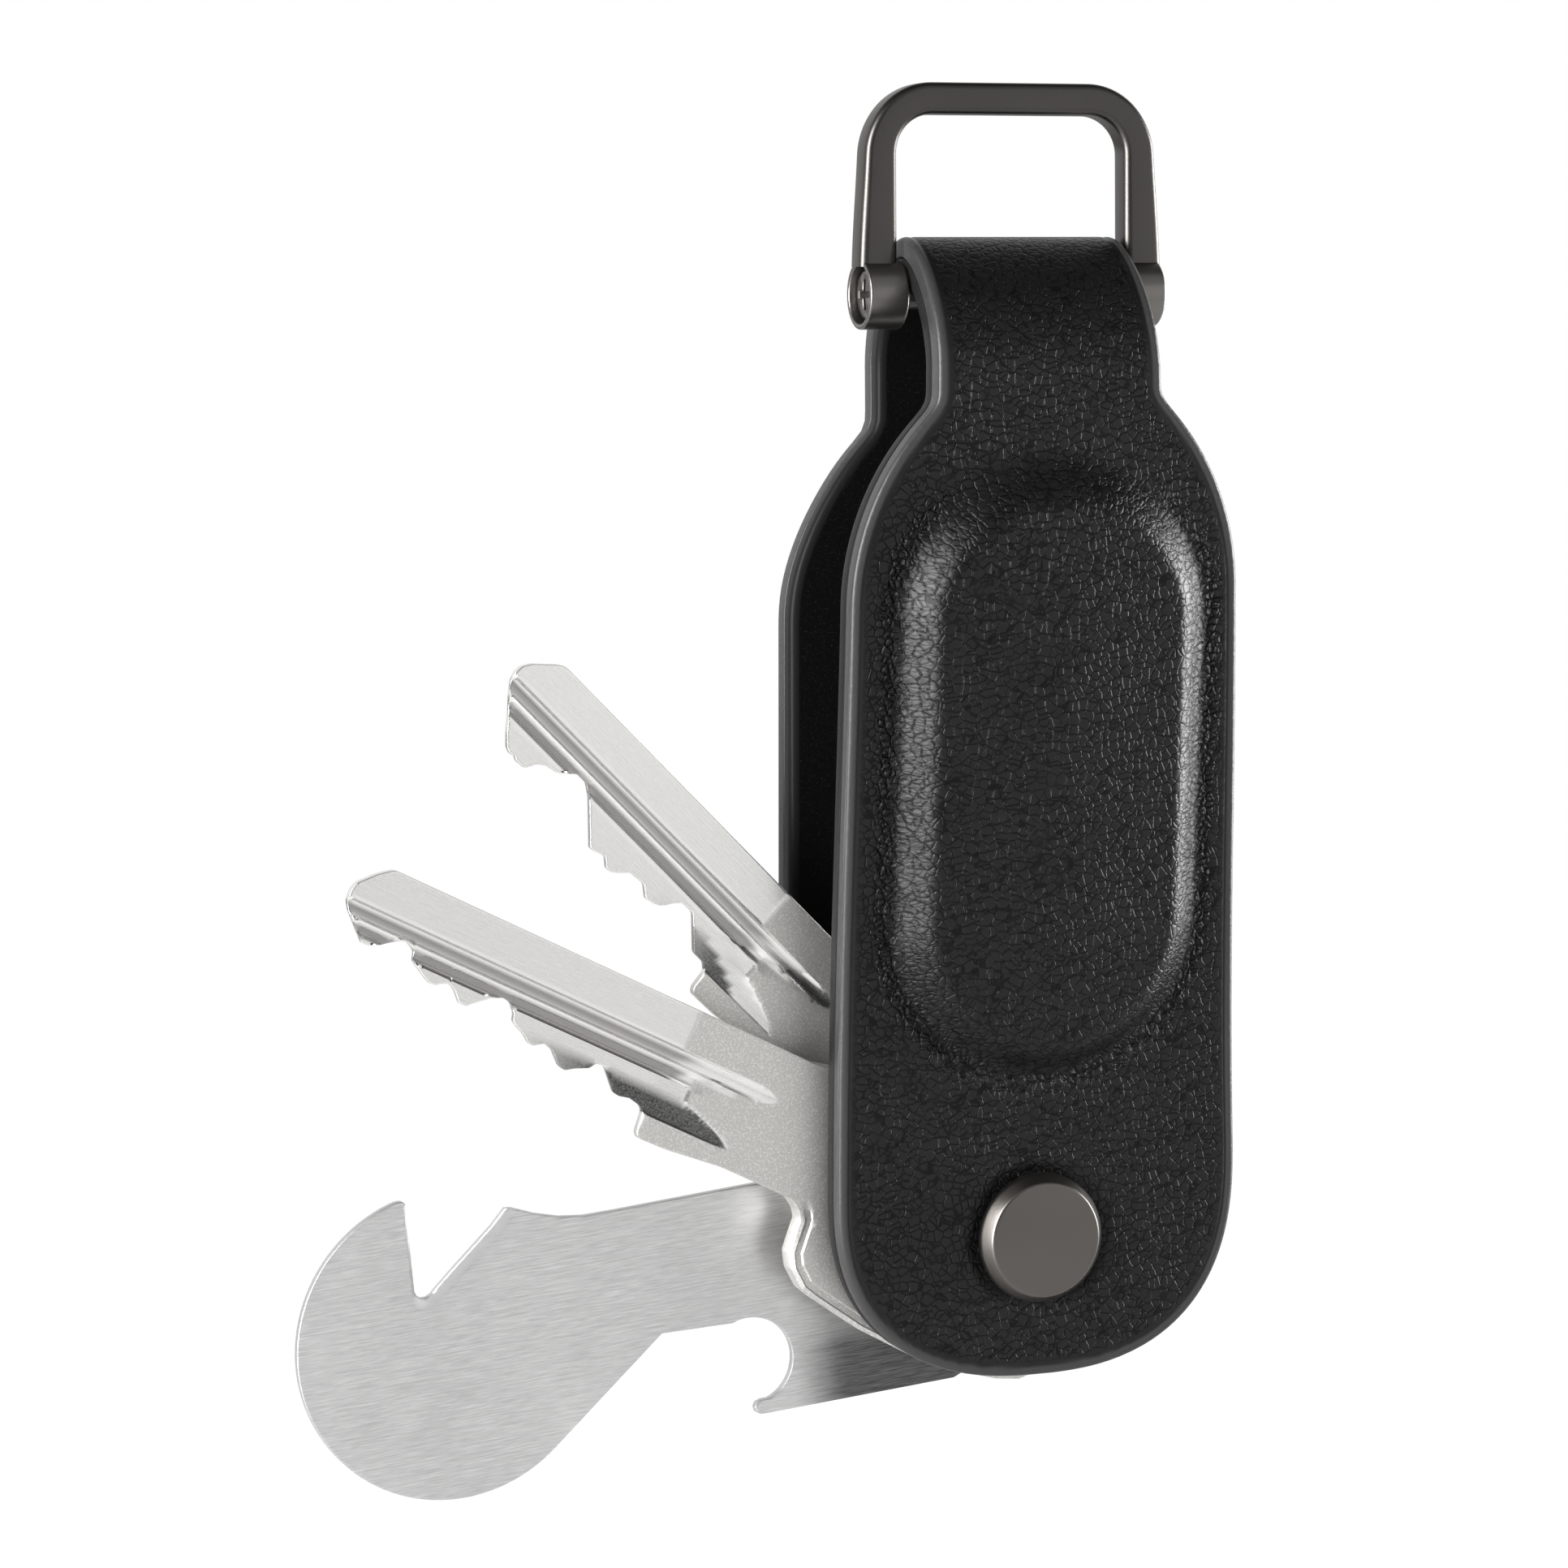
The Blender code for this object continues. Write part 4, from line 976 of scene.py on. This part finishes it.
def toolOutline():
    disc = arc(tool["discAcross"], tool["discAlong"], tool["disc"], 17.5, 218, 64)
    hook = arc(tool["hookAcross"], tool["hookAlong"], tool["hookRadius"], 20, -160, 27)
    tail = arc(0.0, 0.0, tool["heel"], 200, 318, 28)
    prong = [
        (-11.2, 20.55), (-11.36, 20.98), (-11.70, 21.15), (-12.08, 21.06), (-12.28, 20.72), (-12.3, 20.3),
    ]
    tip = [(8.76, 46.95), (8.92, 47.15), (8.95, 47.45), (8.90, 47.80)]
    waist = [(5.5, 30.6), (5.5, 33.2), (5.75, 35.1), (6.3, 37.0), (7.05, 38.8)]
    bottom = [(1.55, 45.65), (1.36, 46.05), (1.38, 46.45), (1.6, 46.78)]
    return (
        notchSide + bottom + notchTop + tip + disc + [(-4.6, 28.0)] + hook + prong
        + [(-12.3, 4.6), (-11.3, 2.0)] + tail + [(5.7, 20.0)] + waist
    )


def toolDepth(flat):
    # the notch's inner side is ground to a slope, its other side to a narrow edge
    slope = np.clip(1 - awayFrom(flat, notchSide + [notchFoot]) / tool["notchSlope"], 0, 1)
    wall = np.clip(1 - awayFrom(flat, notchTop) / tool["notchWall"], 0, 1)
    return tool["slopeDeep"] * slope + tool["wallDeep"] * wall


def toolEdge(flat, gap, side):
    return tool["thinned"] * (1 - eased(gap, 0.0, tool["thinnedOver"])) * (side > 0)


def notchPoints():
    # rows of points along the ground sides of the notch
    made = []
    for offset in (0.2, 0.4, 0.7, 1.0, 1.15):
        for p, q in zip(notchSide, notchSide[1:] + [notchFoot]):
            p, q = np.array(p), np.array(q)
            length = np.hypot(*(q - p))
            away = np.array([-(q - p)[1], (q - p)[0]]) / length * offset
            for t in np.arange(0, 1, 0.25 / length):
                made += [tuple(p + (q - p) * t - away), tuple(p + (q - p) * t + away)]
    topSteps = np.arange(1.6, 8.6, 0.3)
    return made + [(x, tool["notchAlong"] + up) for x in topSteps for up in (0.15, 0.3, 0.4)]


plate, flat, depth = platePiece(
    "toolPlate", tool, toolOutline(), toolDepth, toolEdge, finish["brushed"], (), notchPoints(),
)
giveMask(plate, "polished", eased(depth, 0.01, 0.05))
# painted shade near the post, where the leather shades the plate and darkens its reflection; weaker away from
# the hook
nearPost = 1 - eased(flat[:, 1], *tool["shadeFades"])
giveMask(plate, "dim", nearPost * (1 - tool["shadeLess"] * eased(flat[:, 0], *tool["shadeEdge"])))
swing(plate, tool["open"], tool["y"])
settle(plate, "tool", "brushed_plate", "tool_plate")
print("tool done")


# ring, screws and post

ring = {
    "inner": 9.36, "foot": 12.45, "top": 88.0, "bar": 2.42, "depth": 2.5, "round": 0.55, "corner": 4.15,
    "legFrom": 2.1, "pinY": 7.05, "pinZ": 72.0, "bossRadius": 2.65, "bossInner": 9.0, "bossOuter": 12.15,
    "bossRound": 0.22, "pocket": 2.2, "pocketDeep": 1.7,
}
pinCentre = (0.0, ring["pinY"], ring["pinZ"])


def ringBow(name, material):
    # a rounded bar swept along the squared bow, its legs thicker outwards at the feet
    side, head = ring["inner"] + ring["bar"] / 2, ring["top"] - ring["bar"] / 2
    foot = ring["pinZ"] + ring["legFrom"]
    route = [(-side, foot), (-side, head), (side, head), (side, foot)]
    mesh = bpy.data.meshes.new(name)
    mesh.from_pydata([(x * mm, ring["pinY"] * mm, z * mm) for x, z in route], [(0, 1), (1, 2), (2, 3)], [])
    piece = bpy.data.objects.new(name, mesh)
    bpy.context.scene.collection.objects.link(piece)
    steps = Steps(
        "SweptBow", corner=ring["corner"] * mm, bar=ring["bar"] * mm, depth=ring["depth"] * mm,
        edge=ring["round"] * mm, inner=ring["inner"] * mm,
        flare=(ring["foot"] - ring["inner"] - ring["bar"]) * mm, foot=ring["pinZ"] * mm, head=head * mm,
    )

    def filleted(curve, radius, count):
        sockets = {"Curve": curve, "Radius": steps.given(radius), "Count": count}
        return steps.add("GeometryNodeFilletCurve", {"mode": "POLY"}, sockets)

    line = steps.add("GeometryNodeMeshToCurve", {}, [steps.given("Geometry")])
    bent = filleted(line, "corner", 20)
    even = steps.add("GeometryNodeResampleCurve", {}, {"Curve": bent, "Count": 150})
    sizes = {"Width": steps.given("bar"), "Height": steps.given("depth")}
    section = filleted(steps.add("GeometryNodeCurvePrimitiveQuadrilateral", {}, sizes), "edge", 6)
    sockets = {"Curve": even, "Profile Curve": section, "Fill Caps": True}
    swept = steps.add("GeometryNodeCurveToMesh", {}, sockets)
    spot = steps.add("GeometryNodeInputPosition")
    across, rise = steps.part(spot, "X"), steps.part(spot, "Z")
    out = (across.math("ABSOLUTE") - steps.given("inner")) / steps.given("bar")
    share = (1.0 - rise.between(steps.given("foot"), steps.given("head"))) * out.math("MAXIMUM", 0.0)
    push = steps.vector(share * steps.given("flare") * across.math("SIGN"), 0.0, 0.0)
    moved = steps.add("GeometryNodeSetPosition", {}, {"Geometry": swept, "Offset": push})
    return steps.run(piece, moved, material)


def ringBoss(side):
    # the left boss, side -1, has the pocket for the screw's head
    near, far = ring["bossInner"], ring["bossOuter"]
    profile = [(0.0, near), (ring["bossRadius"], near), (ring["bossRadius"], far)]
    if side < 0:
        floor = far - ring["pocketDeep"]
        profile += [(ring["pocket"] + 0.02, far), (ring["pocket"], floor), (0.0, floor)]
    else:
        profile += [(0.0, far)]
    profile = [(r, side * a) for r, a in roundedProfile(profile, ring["bossRound"])]
    return turned(profile, 72, "X", pinCentre)


bow = ringBow("dRing", finish["ring"])
bow.data.shade_smooth()
bow.data.set_sharp_from_angle(angle=math.radians(50))
settle(outward(bow), "d_ring", "gunmetal", "d_ring")
bosses = metalPiece("ringBosses", [ringBoss(-1), ringBoss(1)], finish["screw"], 50)
settle(bosses, "d_ring", "gunmetal", "d_ring")

screw = {
    "radius": 0.8, "head": 1.85, "headThick": 1.1, "face": -11.72, "domed": 0.12, "end": 11.1,
    "cross": 2.3, "slot": 0.48, "deep": 0.6,
}
face, neck = screw["face"], screw["face"] + screw["headThick"]
profile = roundedProfile([
    (0.0, face), (screw["head"], face + screw["domed"]), (screw["head"], neck), (screw["radius"], neck),
    (screw["radius"], screw["end"]), (0.0, screw["end"]),
], 0.12)
pinScrew = metalPiece("ringScrew", [turned(profile, 64, "X", pinCentre)], finish["screw"], 40)
carved(pinScrew, [
    ((face, ring["pinY"], ring["pinZ"]), (2 * screw["deep"], screw["cross"], screw["slot"])),
    ((face, ring["pinY"], ring["pinZ"]), (2 * screw["deep"], screw["slot"], screw["cross"])),
])
settle(pinScrew, "d_ring", "gunmetal", "ring_screw")

# places along the pivot from the front head's face; the rear head lies on the rear leaf
post = {
    "shank": 2.5, "radius": 5.0, "face": 4.36, "rim": 0.97, "headTo": 1.55, "shankTo": 15.6, "round": 0.2,
    "closeFrom": 15.65, "rearFrom": 15.7, "rearRim": 16.6, "rearFace": 17.3, "slot": 1.0, "slotDeep": 0.6,
}
profile = roundedProfile([
    (0.0, 0.0), (post["face"], 0.0), (post["radius"], post["rim"]), (post["radius"], post["headTo"]),
    (post["shank"], post["headTo"]),
], post["round"], 5)
profile += [(post["shank"], post["shankTo"]), (0.0, post["shankTo"])]
button = metalPiece("pivotButton", [turned(profile, 144, "Y")], finish["button"], 40)
settle(button, "strap", "gunmetal", "pivot_post")

profile = roundedProfile([
    (post["shank"], post["rearFrom"]), (post["radius"], post["rearFrom"]), (post["radius"], post["rearRim"]),
    (post["face"], post["rearFace"]), (0.0, post["rearFace"]),
], post["round"], 5)
profile = [(0.0, post["closeFrom"]), (post["shank"], post["closeFrom"])] + profile
backScrew = metalPiece("pivotScrew", [turned(profile, 96, "Y")], finish["button"], 40)
slotSize = (2.2 * post["radius"], 2 * post["slotDeep"], post["slot"])
carved(backScrew, [((0.0, post["rearFace"], 0.0), slotSize)])
settle(backScrew, "strap", "gunmetal", "pivot_screw")

plainNodes = dict.fromkeys(
    ("front_washer", "middle_washer", "rear_washer", "wave_washer", "ring_sleeve"), finish["steel"],
)
plainNodes["pad_core"] = finish["lining"]
for node, material in plainNodes.items():
    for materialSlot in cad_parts[node].material_slots:
        materialSlot.material = material
print("metal done")


# floor, light and camera

stage = {
    "floor": -62.0, "half": 1600.0, "middle": (-0.01, 0.005, 0.035),
    "sky": 0.11, "ahead": 0.08, "behind": 0.90, "floorGloss": 0.18,
}


def floorMaterial():
    sheet = Sheet("paleFloor", Roughness=0.7)
    seen = sheet.add("ShaderNodeLightPath", out="Is Camera Ray")
    glossy = sheet.add("ShaderNodeLightPath", out="Is Glossy Ray")
    sheet.set(Base_Color=sheet.blend(glossy, grey(0.86), grey(0.62)))
    glow = sheet.add("ShaderNodeEmission", {}, {"Color": grey(1.0), "Strength": 1.06})
    share = seen * 0.93 + glossy * stage["floorGloss"]
    shader = Number(sheet, sheet.shader.outputs[0])
    mixed = sheet.add("ShaderNodeMixShader", {}, [share, shader, glow])
    sheet.put(sheet.tree.nodes["Material Output"].inputs["Surface"], mixed)
    return sheet.material


half = stage["half"]
corners = [(-half, -half), (half, -half), (half, half), (-half, half)]
points = [(x * mm, y * mm, stage["floor"] * mm) for x, y in corners]
floor = addPiece("floor", points, [(0, 1, 2, 3)], floorMaterial(), smooth=False)

# the sky is white to the camera, and brighter behind the object than ahead of it to the metal
world = bpy.data.worlds.new("studio")
bpy.context.scene.world = world
world.use_nodes = True
sky = Tree(world.node_tree)
heading = sky.add("ShaderNodeTexCoord", out="Generated")
behind = sky.part(heading, "Y").between(0.05, 0.45) * (1.0 - sky.part(heading, "Z").between(0.45, 0.95))
seen = sky.add("ShaderNodeLightPath", out="Is Camera Ray")
glossy = sky.add("ShaderNodeLightPath", out="Is Glossy Ray")
mirrored = behind * (stage["behind"] - stage["ahead"]) + stage["ahead"]
share = seen + glossy * mirrored + (1.0 - seen) * (1.0 - glossy) * stage["sky"]
dark, white = (sky.add("ShaderNodeBackground", {}, {"Color": grey(value)}) for value in (0.0, 1.0))
mixed = sky.add("ShaderNodeMixShader", {}, [share, dark, white])
sky.put(world.node_tree.nodes["World Output"].inputs["Surface"], mixed)


def softbox(name, turn, height, away, wide, tall, bright):
    # turn in degrees from straight in front towards the right, bright as seen from the object
    middle, a = stage["middle"], math.radians(turn)
    place = (middle[0] + away * math.sin(a), middle[1] - away * math.cos(a), height)
    lamp = bpy.data.lights.new(name, "AREA")
    lamp.shape = "RECTANGLE"
    lamp.size = wide
    lamp.size_y = tall
    lamp.energy = bright * math.pi * wide * tall
    holder = bpy.data.objects.new(name, lamp)
    holder.location = place
    holder.rotation_euler = (Vector(middle) - Vector(place)).to_track_quat("-Z", "Y").to_euler()
    bpy.context.scene.collection.objects.link(holder)


softbox("frontBox", 31, 0.15, 0.70, 0.70, 0.42, 0.80)
softbox("topBox", 22, 0.46, 0.46, 0.60, 0.36, 0.36)
softbox("leftBox", -64, 0.10, 0.50, 0.24, 0.50, 23.0)
softbox("rightBox", 92, 0.03, 0.50, 0.24, 0.34, 18.5)

# angles in degrees, place in mm, and the focal length in pixels of a photo photoWide across
view = {
    "yaw": 19.6, "pitch": 4.28, "roll": 0.45, "place": (-131.3, -310.1, 69.8), "shift": -0.08,
    "focal": 5500.0, "photoWide": 1932, "sensor": 36.0,
}
yaw, pitch, roll = (math.radians(view[name]) for name in ("yaw", "pitch", "roll"))
forward = Vector((math.sin(yaw) * math.cos(pitch), math.cos(yaw) * math.cos(pitch), -math.sin(pitch)))
level = Vector((math.cos(yaw), -math.sin(yaw), 0.0))
upright = level.cross(forward)
right = level * math.cos(roll) - upright * math.sin(roll)
up = upright * math.cos(roll) + level * math.sin(roll)
lens = bpy.data.cameras.new("camera")
lens.sensor_width = view["sensor"]
lens.lens = view["sensor"] * view["focal"] / view["photoWide"]
lens.shift_y = view["shift"]
lens.clip_start = 0.01
lens.clip_end = 10.0
camera = bpy.data.objects.new("camera", lens)
cameraPlace = Matrix.Translation([c * mm for c in view["place"]])
camera.matrix_world = cameraPlace @ Matrix((right, up, -forward)).transposed().to_4x4()
bpy.context.scene.collection.objects.link(camera)
bpy.context.scene.camera = camera
bpy.context.scene.view_settings.view_transform = "Standard"

print("scene ready")
